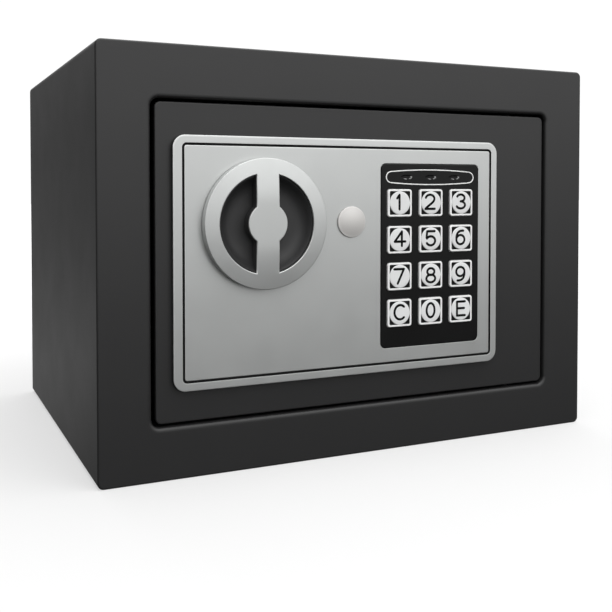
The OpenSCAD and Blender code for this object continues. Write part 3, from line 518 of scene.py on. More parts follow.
def felt_material():
    g = Graph("needle_felt")
    fibre = g.noise(1500, 5.0, 0.65, stretch=(1.0, 2.2, 1.0))
    fuzz = g.noise(420, 4.0, 0.6, shift=(4, 2, 0))
    patch = g.noise(24, 3.0, 0.5)
    base = g.mix(g.span(fibre, 0, 1), (0.014, 0.014, 0.015), (0.048, 0.048, 0.050))
    g.link(g.mix(g.span(patch, 0.0, 0.35), base, (0.052, 0.052, 0.054)), g.p.inputs["Base Color"])
    g.link(g.span(fuzz, 0.86, 0.98), g.p.inputs["Roughness"])
    g.link(g.bump(fibre, 0.00022, 0.8, g.bump(fuzz, 0.0003, 0.5)), g.p.inputs["Normal"])
    g.p.inputs["Sheen Weight"].default_value = 0.25
    g.p.inputs["Sheen Roughness"].default_value = 0.5
    g.p.inputs["Specular IOR Level"].default_value = 0.2
    return g.mat


def sleeve_material():
    """Battery sleeve: a dark, cloudy body with a clear coat; the foil band at the plus end is a separate material."""
    g = Graph("cell_sleeve")
    cloud = g.span(g.noise(60), 0, 1)
    g.link(g.mix(cloud, (0.030, 0.032, 0.036), (0.040, 0.042, 0.047)), g.p.inputs["Base Color"])
    g.link(g.span(g.noise(240), 0.22, 0.34), g.p.inputs["Roughness"])
    g.link(g.bump(g.noise(700), 0.00001, 0.4), g.p.inputs["Normal"])
    g.p.inputs["Coat Weight"].default_value = 0.5
    return g.mat


BOARD = board_material()
FELT = felt_material()
SLEEVE = sleeve_material()
FOIL = surface("copper_foil_band", (0.56, 0.30, 0.13), 0.28, metal=0.9, var=0.08, scale=160, fine=1200, height=0.00001, coat=0.3)


# ---------------------------------------------------------------- dimensions

def span_mm(node):
    lo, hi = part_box(node)
    return lo / MM, hi / MM


lo, hi = span_mm("body_shell")
X0, Y0, Z0 = lo
X1, Y1, Z1 = hi
ZC = (Z0 + Z1) / 2
d_lo, d_hi = span_mm("door_plate")
DX0, DY0, DZ0 = d_lo
DX1, DY1, DZ1 = d_hi
GAP = 1.3
OX0, OX1, OZ0, OZ1 = DX0 - GAP - 0.4, DX1 + GAP, DZ0 - GAP - 0.30, DZ1 + GAP
f_lo, f_hi = span_mm("fascia")
FX0, FY, FZ0 = f_lo
FX1, _, FZ1 = f_hi
n_lo, n_hi = span_mm("knob")
KNX, KNZ = (n_lo.x + n_hi.x) / 2, (n_lo.z + n_hi.z) / 2
c_lo, c_hi = span_mm("keyhole_cap")
LX, LZ = (c_lo.x + c_hi.x) / 2, (c_lo.z + c_hi.z) / 2
p_lo, p_hi = span_mm("keypad_plate")
KY = p_lo.y
T = 1.5


# ---------------------------------------------------------------- cabinet

def make_cabinet():
    s = Shape()
    body = rr(X0, Z0, X1, Z1, 2.5, n=10)
    door_hole = rr(OX0, OZ0, OX1, OZ1, 3.5, n=10)

    def floor_side(a, b):
        return abs(a.x - b.x) > 50 and a.z < Z0 + 3 and b.z < Z0 + 3

    # Outside: back rim, long walls, edge round the face
    rf = 0.8
    prof = [(-T, Y1 - 0.25), (-0.25, Y1 - 0.25), (-0.25, Y1), (0, Y1 - 0.25)]
    prof = [(-T, Y1), (-0.3, Y1), (0, Y1 - 0.3)] + arc(-rf, Y0 + rf, rf, 0, 90, 7)
    first, last, rings = sweep(s, body, prof, n1=(0, -1), skip=None)
    # The floor's outer face is rebuilt with its two anchor holes
    outer_floor = [i for i in range(len(s.f)) if all(s.v[k].z < Z0 + 1e-4 for k in s.f[i]) and max((s.v[a] - s.v[b]).length for a in s.f[i] for b in s.f[i]) > 150]
    # Face frame and the flange turned inwards round the doorway
    # The lip: a tight bend that runs out gently into the face
    big, small, split = 5.2, 1.21, math.radians(10)
    lip = []
    for k in range(9):
        a = math.radians(90) + (split - math.radians(90)) * k / 8
        lip.append((1.0 - small * (math.sin(a) - math.sin(split)), Y0 + big * (1 - math.cos(split)) + small * (math.cos(split) - math.cos(a))))
    for k in (1, 2, 3):
        a = split * (1 - k / 3)
        lip.append((1.0 + big * (math.sin(split) - math.sin(a)), Y0 + big * (1 - math.cos(a))))
    hole_prof = [(T + 0.55, Y0 + 12.0), (0.85, Y0 + 12.0), (0.55, Y0 + 11.7), (0.55, Y0 + 5.5), (0, Y0 + 3.5)] + lip
    h_first, h_last, _ = sweep(s, door_hole, hole_prof, hole=True, n1=(0, -1))
    s.fill(last, [h_last], (0, -1, 0))
    # Inside: back of the face frame, flange's outer side, walls
    in_body = rr(X0 + T, Z0 + T, X1 - T, Z1 - T, 1.0, n=10)
    pts, nor = in_body(0)
    a = s.add([(x, Y0 + T, z) for x, z in pts])
    b = first
    inward = [Vector((-n[0], 0, -n[1])) for n in nor]
    s.skin(a, b, inward, inward, skip=floor_side)
    pts, nor = rr(OX0, OZ0, OX1, OZ1, 3.5, n=10)(T + 0.55)
    c = s.add([(x, Y0 + T, z) for x, z in pts])
    outward = [Vector((n[0], 0, n[1])) for n in nor]
    s.skin(c, h_first, outward, outward)
    s.fill(a, [c], (0, 1, 0))
    # Floor faces with anchor holes
    drop = set(outer_floor)
    keep_f, keep_n, keep_m, pos = [], [], [], 0
    for i, f in enumerate(s.f):
        if i not in drop:
            keep_f.append(f); keep_n += s.n[pos:pos + len(f)]; keep_m.append(s.m[i])
        pos += len(f)
    gone = [s.f[i] for i in drop]
    s.f, s.n, s.m = keep_f, keep_n, keep_m
    holes_out, holes_in = [], []
    for sx in (-50, 50):
        ring = [(sx + 4.5 * math.cos(2 * math.pi * k / 40), 10 + 4.5 * math.sin(2 * math.pi * k / 40)) for k in range(40)]
        o_ring = s.add([(x, y, Z0) for x, y in ring])
        i_ring = s.add([(x, y, Z0 + T) for x, y in ring])
        nn = [Vector((-math.cos(2 * math.pi * k / 40), -math.sin(2 * math.pi * k / 40), 0)) for k in range(40)]
        s.skin(o_ring, i_ring, nn, nn)
        holes_out.append(o_ring)
        holes_in.append(i_ring)
    for f in gone:
        ys = [s.v[k].y for k in f]
        if min(ys) < 10 - 5 and max(ys) > 10 + 5:
            s.fill(list(f), holes_out, (0, 0, -1))
        else:
            s.face(list(f), [Vector((0, 0, -1))] * len(f))
    n_pts = len(a)
    for i in range(n_pts):
        j = (i + 1) % n_pts
        if floor_side(s.v[a[i]], s.v[a[j]]):
            s.fill([a[i], a[j], b[j], b[i]], holes_in, (0, 0, 1))
    return s.piece("cabinet", [PAINT], "cabinet", ["body_shell"])


def dimple(s, holes, cx, cz, y, r=2.6, depth=0.18, back=True):
    """A spot-weld mark: a shallow dish let into a flat face at y. Its rim joins holes."""
    sgn = 1 if back else -1
    c = circ(cx, cz, r, 20)
    rings = []
    for o, d, t in ((0, 0, 1.0), (-0.5, depth * 0.7, 0.55), (-1.1, depth, 0.1)):
        pts, nor = c(o)
        rings.append((s.add([(x, y - sgn * d, z) for x, z in pts]), [Vector((-n[0] * t * 0.35, sgn, -n[1] * t * 0.35)).normalized() for n in nor]))
    for p, q in zip(rings, rings[1:]):
        s.skin(p[0], q[0], p[1], q[1])
    s.fill(rings[-1][0], [], (0, sgn, 0))
    holes.append(rings[0][0])


def make_back_panel():
    s = Shape()
    panel = rr(X0 + T, Z0 + T, X1 - T, Z1 - T, 1.0, n=6)
    yb, yf = Y1, Y1 - T
    first, last, _ = sweep(s, panel, [(-0.25, yb), (0, yb - 0.25), (0, yf)])
    back_holes, front_holes = [], []
    for sx in (-50, 50):
        f, l, _ = sweep(s, circ(sx, ZC, 4.5, 40), [(0.2, yb), (0, yb - 0.2), (0, yf)], hole=True)
        back_holes.append(f)
        front_holes.append(l)
    for cx in (-95, -57, -19, 19, 57, 95):
        for cz in (Z0 + 8, Z1 - 8):
            dimple(s, back_holes, cx, cz, yb)
    for cz in (44, ZC, 124):
        for cx in (X0 + 9, X1 - 9):
            dimple(s, back_holes, cx, cz, yb)
    s.fill(first, back_holes, (0, 1, 0))
    s.fill(last, front_holes, (0, -1, 0))
    return s.piece("back_panel", [PAINT], "cabinet", ["rear_panel"])


def make_mat():
    """Needle-felt sheet, 2 mm thick, laid on the floor, with a soft cut edge and two holes over the anchor holes."""
    s = Shape()
    lo, hi = span_mm("floor_mat")
    nx, ny = 46, 32
    import mathutils
    def lift(x, y):
        p = mathutils.noise.noise(Vector((x * 0.02, y * 0.02, 3.1)))
        return 0.10 * p
    def loop(inset, z, lifted):
        pts, nor = rr(lo.x + inset, lo.y + inset, hi.x - inset, hi.y - inset, 2.0, n=5, side=24)(0)
        return s.add([(x, y, z + (lift(x, y) if lifted else 0)) for x, y in pts]), nor
    bottom, nb = loop(0.3, lo.z, False)
    low, _ = loop(0.0, lo.z + 0.4, False)
    mid, _ = loop(0.0, hi.z - 0.75, False)
    up, _ = loop(0.25, hi.z - 0.30, False)
    top, _ = loop(0.8, hi.z - 0.12, True)
    def vec(z, k):
        return [Vector((n[0] * k, n[1] * k, z)).normalized() for n in nb]
    s.skin(bottom, low, vec(-0.6, 1), vec(-0.2, 1))
    s.skin(low, mid, vec(-0.2, 1), vec(0.2, 1))
    s.skin(mid, up, vec(0.2, 1), vec(0.8, 1))
    s.skin(up, top, vec(0.8, 1), vec(1, 0))
    tops, bots = [], []
    for sx in (-50, 50):
        cs = [(math.cos(2 * math.pi * k / 36), math.sin(2 * math.pi * k / 36)) for k in range(36)]
        r0 = s.add([(sx + 7.0 * c, 10 + 7.0 * d, lo.z) for c, d in cs])
        r1 = s.add([(sx + 7.0 * c, 10 + 7.0 * d, hi.z - 0.6) for c, d in cs])
        r2 = s.add([(sx + 7.5 * c, 10 + 7.5 * d, hi.z - 0.12 + lift(sx + 7.5 * c, 10 + 7.5 * d)) for c, d in cs])
        nn = [Vector((-c, -d, 0)) for c, d in cs]
        nt = [Vector((-c * 0.5, -d * 0.5, 0.85)) for c, d in cs]
        s.skin(r0, r1, nn, nn)
        s.skin(r1, r2, nn, nt)
        tops.append(r2)
        bots.append(r0)
    s.fill(bottom, bots, (0, 0, -1))
    s.fill(top, tops, (0, 0, 1))
    ob = s.piece("felt_mat", [FELT], "cabinet", ["floor_mat"])
    return ob


# ---------------------------------------------------------------- door

def round_edge(o, y, r, n=5, base_y=None):
    """Profile of an outer edge: from the back at base_y to the front at y with radius r."""
    return [(o, base_y)] + arc(o - r, y + r, r, 0, 90, n)


def make_door():
    s = Shape()
    plate = rr(DX0 + 0.25, DZ0 - 0.5, DX1 + 0.62, DZ1 + 0.25, 2.4, n=8)
    prof = [(-0.4, DY1), (0, DY1 - 0.4)] + arc(-0.6, DY0 + 0.6, 0.6, 0, 90, 7)
    first, last, _ = sweep(s, plate, prof, n0=(0, 1), n1=(0, -1))
    kx, kz = (p_lo.x + p_hi.x) / 2, (p_lo.z + p_hi.z) / 2
    backs, fronts = [], []
    for c in (rr(kx - 23, kz - 37.5, kx + 23, kz + 37.5, 2, n=4), circ(KNX, KNZ, 6.05, 32), circ(LX, LZ, 5.6, 32)):
        f, l, _ = sweep(s, c, [(0, DY1), (0, DY0)], hole=True)
        backs.append(f)
        fronts.append(l)
    for cx, cz in ((-90.4, 60), (-90.4, 108), (66.5, 30), (66.5, 138)):
        pass
    s.fill(first, backs, (0, 1, 0))
    s.fill(last, fronts, (0, -1, 0))
    return s.piece("door_panel", [DOOR_PAINT], "door", ["door_plate"])


def make_fascia():
    s = Shape()
    gx0, gx1, gz0, gz1 = FX0 + 0.1, FX1 - 0.13, FZ0 - 0.38, FZ1 - 0.23
    out = rr(gx0, gz0, gx1, gz1, 5.0, n=12)

    def groove(v):
        # The groove is not quite parallel to the edge
        if min(v.x - gx0, gx1 - v.x, v.z - gz0, gz1 - v.z) > 2.5:
            k = (v.x - gx0 - 3.6) / (gx1 - gx0 - 7.2)
            h = (v.z - gz0 - 3.6) / (gz1 - gz0 - 7.2)
            v.x += 0.52 - 0.46 * k
            v.z += 0.13 * h - 0.05 * (1 - h)

    y = FY
    face = y + 0.10                       # the field inside the groove lies a hair lower than the rim
    # Side wall painted near black as shade, flat rim in the lighter silver (a painted highlight), black groove, then
    # the flat field
    rim = arc(-0.24, y + 0.26, 0.24, 0, 84, 6) + [(-0.45, y), (-0.80, y), (-2.62, y), (-3.08, y), (-3.13, y + 0.06)]
    prof2 = [(0, DY0)] + rim + [(-3.18, y + 0.80), (-4.06, y + 0.80), (-4.10, face + 0.08), (-4.18, face + 0.01), (-4.36, face), (-4.55, face)]
    mats = [3] + [1] * (len(rim) - 1) + [2, 2, 2, 0, 0, 0]
    first, last, _ = sweep(s, out, prof2, n1=(0, -1), mats=mats, warp=groove)
    backs, fronts = [], []
    kx0, kz0, kx1, kz1 = p_lo.x, p_lo.z, p_hi.x, p_hi.z
    # Hole edges: a black wall, then a rounding in the lighter rim silver, a painted highlight.
    for c, r in ((rr(kx0 - 0.10, kz0 - 0.10, kx1 + 0.10, kz1 + 0.10, 2.4, n=8), 0.25), (circ(KNX, KNZ, 22, 72), 0.2), (circ(LX, LZ, 6.1, 48), 0.2)):
        hp = [(0, DY0), (0, face + r)] + [(r - r * math.cos(math.radians(90 * k / 4)), face + r - r * math.sin(math.radians(90 * k / 4))) for k in range(1, 5)]
        f, l, _ = sweep(s, c, hp, hole=True, n1=(0, -1), mats=[2, 1, 1, 1, 1])
        backs.append(f)
        fronts.append(l)
    s.fill(first, backs, (0, 1, 0), 0)
    s.fill(last, fronts, (0, -1, 0), 0)
    return s.piece("fascia_panel", [SILVER, SILVER_RIM_LIT, BLACK_GROOVE, FASCIA_WALL_SHADE], "door", ["fascia"])


DOME = 300.0          # radius of the knob's gently domed face


def make_knob():
    s = Shape()
    front = n_lo.y                             # face at the centre
    r_in, bar, hub = 20.0, 4.9, 8.35
    base_y = FY - 0.3

    # The face is flat over the hub and falls away gently towards the edge
    def dome(v):
        r = math.hypot(v.x - KNX, v.z - KNZ)
        u = max(0.0, min(1.0, (r - 7) / 8))
        k = max(0.0, min(1.0, (FY - 1.0 - v.y) / 1.2))
        v.y += k * (8 * (7 * (u ** 3 - u ** 4 / 2) + 8 * (0.75 * u ** 4 - 0.4 * u ** 5)) + max(0.0, r * r - 225) / 2) / DOME

    def dome_normal(v):
        u = max(0.0, min(1.0, (math.hypot(v.x - KNX, v.z - KNZ) - 7) / 8))
        lean = u * u * (3 - 2 * u) / DOME
        return Vector(((v.x - KNX) * lean, -1, (v.z - KNZ) * lean)).normalized()

    # Outer edge of the ring
    rim = circ(KNX, KNZ, 26.1, 96)
    prof = [(-4.4, base_y), (-0.25, base_y), (0, base_y - 0.2)] + [(0, front + 0.6)] + [(-0.3 + 0.3 * math.cos(math.radians(a)), front + 0.32 - 0.32 * math.sin(math.radians(a))) for a in (0, 18, 36, 54, 72, 90)]
    f0, outer, _ = sweep(s, rim, prof, n1=(0.0, -1.0), warp=dome)
    backs, fronts = [f0], []
    for side in (-1, 1):
        t0 = math.degrees(math.acos(bar / r_in))
        h0 = math.degrees(math.acos(bar / hub))
        arc_out = [(side * r_in * math.cos(math.radians(a)), r_in * math.sin(math.radians(a))) for a in [-t0 + 2 * t0 * k / 44 for k in range(45)]]
        z_out, z_hub = r_in * math.sin(math.radians(t0)), hub * math.sin(math.radians(h0))
        down = [(side * bar, z_out + (z_hub - z_out) * k / 8) for k in range(1, 8)]
        arc_hub = [(side * hub * math.cos(math.radians(a)), hub * math.sin(math.radians(a))) for a in [h0 - 2 * h0 * k / 20 for k in range(21)]]
        up = [(side * bar, -z_hub + (-z_out + z_hub) * k / 8) for k in range(1, 8)]
        loop = arc_out + down + arc_hub + up
        if side < 0:
            loop = loop[::-1]
        c = outline([(KNX + x, KNZ + z) for x, z in loop])
        ch = 0.34
        hp = [(0, FY - 0.55), (0, front + ch + 0.30), (0, front + ch), (ch * 0.25, front + ch * 0.42), (ch * 0.62, front + ch * 0.10), (ch, front)]
        f, l, _ = sweep(s, c, hp, hole=True, n1=(0, -1), mats=[1, 0, 0, 0, 0], warp=dome)
        backs.append(f)
        fronts.append(l)
    s.fill(outer, fronts, (0, -1, 0), 0, rule=dome_normal)
    # Back of the bar and of the ring, behind the pockets
    back_y = FY - 0.55
    ring_in = s.add([(KNX + 21.5 * math.cos(2 * math.pi * k / 96), back_y, KNZ + 21.5 * math.sin(2 * math.pi * k / 96)) for k in range(96)])
    s.skin(f0, ring_in, [Vector((0, 1, 0))] * 96, [Vector((0, 1, 0))] * 96, 1)
    s.fill(ring_in, backs[1:], (0, 1, 0), 1)
    return s.piece("turn_knob", [SILVER_KNOB, BLACK_CUP], "knob_group", ["knob"])


def make_cup():
    s = Shape()
    y = FY
    prof = [(4.05, -(y + 2.1)), (19.9, -(y + 2.1)), (19.95, -(y - 3.3)), (19.55, -(y - 3.45)), (18.9, -(y - 2.6))]
    prof += [(18.9 - 8.0 * t, -(y - 2.6 + 3.9 * (1 - (1 - t) ** 4.0))) for t in (0.05, 0.11, 0.19, 0.3, 0.45, 0.68, 1.0)]
    prof += [(4.05, -(y + 1.3))]
    lathe(s, (KNX, 0, KNZ), (0, -1, 0), prof, n=96, closed=True)
    return s.piece("knob_recess", [BLACK_CUP], "knob_group", ["knob_cup"])


def make_cap():
    s = Shape()
    top = -c_lo.y
    rim = FY - 0.06
    dome = [(6.5, -rim), (6.5, -(FY - 0.42)), (6.42, -(FY - 0.60)), (6.22, -(FY - 0.76))]
    R = 18.5
    base = top - (R - math.sqrt(R * R - 6.0 ** 2))
    for r in (5.9, 5.2, 4.4, 3.5, 2.6, 1.7, 0.85):
        dome.append((r, top - (R - math.sqrt(R * R - r * r))))
    prof = [(5.2, -(FY + 1.1)), (6.0, -(FY + 1.1)), (6.0, -rim)] + dome + [(0, top)]
    lathe(s, (LX, 0, LZ), (0, -1, 0), [(0, -(FY + 0.4)), (5.2, -(FY + 0.4))] + prof, n=64)
    return s.piece("lock_cap", [CAP], "cap", ["keyhole_cap"])


KEY_NAMES = ["1", "2", "3", "4", "5", "6", "7", "8", "9", "C", "0", "E"]


def key_box(name):
    return span_mm("key_" + name.lower())


def make_keypad():
    s = Shape()
    front = KY
    out = rr(p_lo.x, p_lo.z, p_hi.x, p_hi.z, 2.3, n=9)
    bevel = 0.42
    prof = [(-1.5, DY0), (-1.5, front + 1.2)]
    first, last, _ = sweep(s, out, [(0, DY0), (0, front + bevel), (-bevel * 0.18, front + bevel * 0.38), (-bevel * 0.5, front + bevel * 0.12), (-bevel, front)],
                           n1=(0, -1))
    backs, fronts = [], []
    for name in KEY_NAMES:
        lo, hi = key_box(name)
        cx, cz = (lo.x + hi.x) / 2, (lo.z + hi.z) / 2
        c = rr(cx - 6.15, cz - 6.24, cx + 6.15, cz + 5.90, 1.3, n=5)
        f, l, _ = sweep(s, c, [(0, front + 1.2), (0, front + 0.15), (0.06, front + 0.04), (0.16, front)], hole=True, n1=(0, -1))
        backs.append(f)
        fronts.append(l)
    lens = lens_outline(0.28)
    f, l, _ = sweep(s, lens, [(0, front + 1.2), (0, front)], hole=True)
    backs.append(f)
    fronts.append(l)
    s.fill(last, fronts, (0, -1, 0), 0)
    inner, _, _ = sweep(s, rr(p_lo.x + 1.5, p_lo.z + 1.5, p_hi.x - 1.5, p_hi.z - 1.5, 1.0, n=9), [(0, DY0), (0, front + 1.2)], hole=True)[0:3]
    ceiling = len(s.v)
    s.fill(first, [inner], (0, 1, 0))
    pts, _ = rr(p_lo.x + 1.5, p_lo.z + 1.5, p_hi.x - 1.5, p_hi.z - 1.5, 1.0, n=9)(0)
    roof = inner_last(s, inner, front + 1.2)
    s.fill(roof, backs, (0, 1, 0))
    return s.piece("keypad_panel", [GLOSS], "door", ["keypad_plate"])


def inner_last(s, first, y):
    """The ring that follows first in a two-ring sweep."""
    return [k + len(first) for k in first]


LENS_C = None


def lens_outline(grow=0.0):
    """Outline of the indicator window: two shallow arcs with round ends."""
    lo, hi = span_mm("led_window")
    cx, cz = (lo.x + hi.x) / 2, (lo.z + hi.z) / 2
    half, end, rise, R = (hi.x - lo.x) / 2, 2.6, (hi.z - lo.z) / 2 + 0.01, 244.0
    pts = []
    def top(x):
        return rise - (R - math.sqrt(R * R - x * x))
    xe = half - end
    ze = top(xe)
    def side(sg):
        out = []
        for k in range(0, 13):
            a = math.radians(-90 + 180 * k / 12)
            zz = ze * math.sin(a)
            xx = xe + end * math.cos(a)
            out.append((sg * xx, sg * zz))
        return out
    right = side(1)
    left = side(-1)
    upper = [(xe - 2 * xe * k / 28, top(xe - 2 * xe * k / 28)) for k in range(1, 28)]
    lower = [(-x, -z) for x, z in upper]
    loop = right + upper + left + lower
    c = outline([(cx + x, cz + z) for x, z in loop])
    return lambda o: c(o + grow)


def make_window():
    s = Shape()
    lo, hi = span_mm("led_window")
    front = lo.y
    c = lens_outline(0.23)
    prof = [(0, hi.y), (0, front + 0.20), (-0.05, front + 0.05), (-0.14, front), (-0.34, front), (-0.43, front + 0.05), (-0.47, front + 0.13), (-0.60, front + 0.16)]
    first, last, _ = sweep(s, c, prof, n1=(0, -1), mats=[1, 0, 0, 0, 0, 0, 1])
    ovals = []
    y = front + 0.16
    for x in (17.6, 29.8, 42.0):
        z = (lo.z + hi.z) / 2
        o = oval(x, z, 2.85, 1.1, 44)
        rings = []
        for d, h, t in ((0.0, 0.0, 0.25), (-0.06, 0.05, 1.00), (-0.34, 0.27, 0.80), (-0.52, 0.36, 0.25), (-0.64, 0.38, 0.0)):
            pts, nor = o(d)
            rings.append((s.add([(px, y + h, pz) for px, pz in pts]), [Vector((-n[0] * t, -1, -n[1] * t + 1.1 * t * max(0, n[0]))).normalized() for n in nor]))
        # Only the dish walls at the lower left and at the right end take the bright mirror finish, the rest the dull
        # lens black, so glints show just there: painted highlights set by where the finish goes. Normals at the right
        # end are tilted upwards as well.
        def away_from_painted_glint(a, b):
            u, w = (a.x + b.x) / 2 - x, (a.z + b.z) / 2 - z
            return not (u > 1.6 or (-1.45 < u < -0.15 and w < 0))
        for k, (p, q) in enumerate(zip(rings, rings[1:])):
            if k in (1, 2):
                s.skin(p[0], q[0], p[1], q[1], 2, skip=away_from_painted_glint)
                s.skin(p[0], q[0], p[1], q[1], 1, skip=lambda a, b: not away_from_painted_glint(a, b))
            else:
                s.skin(p[0], q[0], p[1], q[1], 1)
        s.fill(rings[-1][0], [], (0, -1, 0), 1)
        ovals.append(rings[0][0])
    s.fill(last, ovals, (0, -1, 0), 1)
    s.fill(first, [], (0, 1, 0), 1)
    return s.piece("window_lens", [WHITE_INK, LENS, LAMP], "door", ["led_window"])


def make_key(name):
    s = Shape()
    lo, hi = key_box(name)
    cx, cz = (lo.x + hi.x) / 2, (lo.z + hi.z) / 2 - 0.18
    w, h = 5.95, 5.86
    front = KY - 0.7
    floor = front + 0.30
    base = rr(cx - w, cz - h, cx + w, cz + h, 1.15, n=6)
    r = 0.28
    prof = [(0.5, KY + 2.0), (0.5, KY + 1.4), (0.0, KY + 1.4), (0, front + r)] + [(-r + r * math.cos(math.radians(a)), front + r - r * math.sin(math.radians(a))) for a in (22, 45, 68, 90)]
    first, last, _ = sweep(s, base, prof, n1=(0, -1))
    well = rr(cx - w + 0.93, cz - h + 0.86, cx + w - 0.93, cz + h - 0.78, 0.5, n=4, side=5)
    wf, wl, _ = sweep(s, well, [(0, floor), (0, front + 0.08), (0.08, front)], hole=True, n1=(0, -1), mats=[2, 0])
    s.fill(last, [wl], (0, -1, 0), 0)
    # Round face, touching the rim on its four sides
    fr = 5.00
    disc = circ(cx, cz + 0.03, fr, 56)
    rings = [(0.0, floor, (1, 0)), (0.0, front + 0.10, (0.9, -0.4)), (-0.12, front + 0.01, (0.35, -1)), (-0.5, front - 0.02, (0.05, -1)), (-2.6, front - 0.04, (0.0, -1))]
    made = []
    for o, y, nn in rings:
        pts, nor = disc(o)
        made.append((s.add([(px, y, pz) for px, pz in pts]), [Vector((n[0] * nn[0], nn[1], n[1] * nn[0])).normalized() for n in nor]))
    for k, (p, q) in enumerate(zip(made, made[1:])):
        s.skin(p[0], q[0], p[1], q[1], 1)
    s.fill(made[-1][0], [], (0, -1, 0), 1)
    s.fill(wf, [made[0][0]], (0, -1, 0), 2)
    s.fill(first, [], (0, 1, 0), 0)
    # Numeral, as raised ink
    pen, gh = 1.04, 6.15
    gw = {"0": 4.95, "1": 4.15, "2": 5.3, "3": 5.1, "4": 5.5, "5": 5.3, "6": 5.2, "7": 5.65, "8": 5.4, "9": 5.35, "C": 6.0, "E": 5.5}[name]
    gx = {"0": -0.18, "1": -0.40, "2": -0.66, "3": -0.30, "4": -0.04, "5": -0.26, "6": -0.46, "7": -0.42, "8": -0.14, "9": -0.42, "C": -0.14, "E": -0.12}[name]
    gz = {"1": 0.2, "2": 0.26, "3": 0.3, "4": 0.28, "5": 0.1, "6": 0.2, "7": -0.10, "8": -0.3, "9": -0.34, "C": 0.18, "0": 0.14, "E": 0.0}[name]
    base_y = front + 0.02
    for k, (path, closed) in enumerate(GLYPHS[name]):
        pts = [(cx + gx + x * gw, cz + 0.18 + gz + z * gh) for x, z in path]
        loops = stroke(pts, pen, closed)
        top = front - 0.065 - 0.006 * k
        tops, bottoms = [], []
        for li, loop in enumerate(loops):
            area = sum(a[0] * b[1] - b[0] * a[1] for a, b in zip(loop, loop[1:] + loop[:1]))
            outward = 1 if (area > 0) else -1
            if closed and li == 1:
                pass
            count = len(loop)
            t = s.add([(x, top, z) for x, z in loop])
            b = s.add([(x, base_y, z) for x, z in loop])
            nn = []
            for i in range(count):
                p, q = loop[i - 1], loop[(i + 1) % count]
                m = unit2((q[1] - p[1]) * outward, -(q[0] - p[0]) * outward)
                nn.append(m)
            mean = (sum(x for x, z in loop) / count, sum(z for x, z in loop) / count)
            tops.append((t, abs(area)))
            bottoms.append(b)
            inner = closed and abs(area) < max(abs(sum(a[0] * c[1] - c[0] * a[1] for a, c in zip(l2, l2[1:] + l2[:1]))) for l2 in loops) - 1e-9
            sg = -1 if inner else 1
            normals = [Vector((m[0] * sg, 0, m[1] * sg)) for m in nn]
            s.skin(t, b, normals, normals, 3)
        order = sorted(range(len(tops)), key=lambda i: -tops[i][1])
        s.fill(tops[order[0]][0], [tops[i][0] for i in order[1:]], (0, -1, 0), 3)
        s.fill(bottoms[order[0]], [bottoms[i] for i in order[1:]], (0, 1, 0), 3)
    node = "key_" + name.lower()
    return s.piece("button_" + name.lower(), [KEY_RIM, KEY_FACE, KEY_BLACK, INK], "b_" + node, [node])


# ---------------------------------------------------------------- behind the door

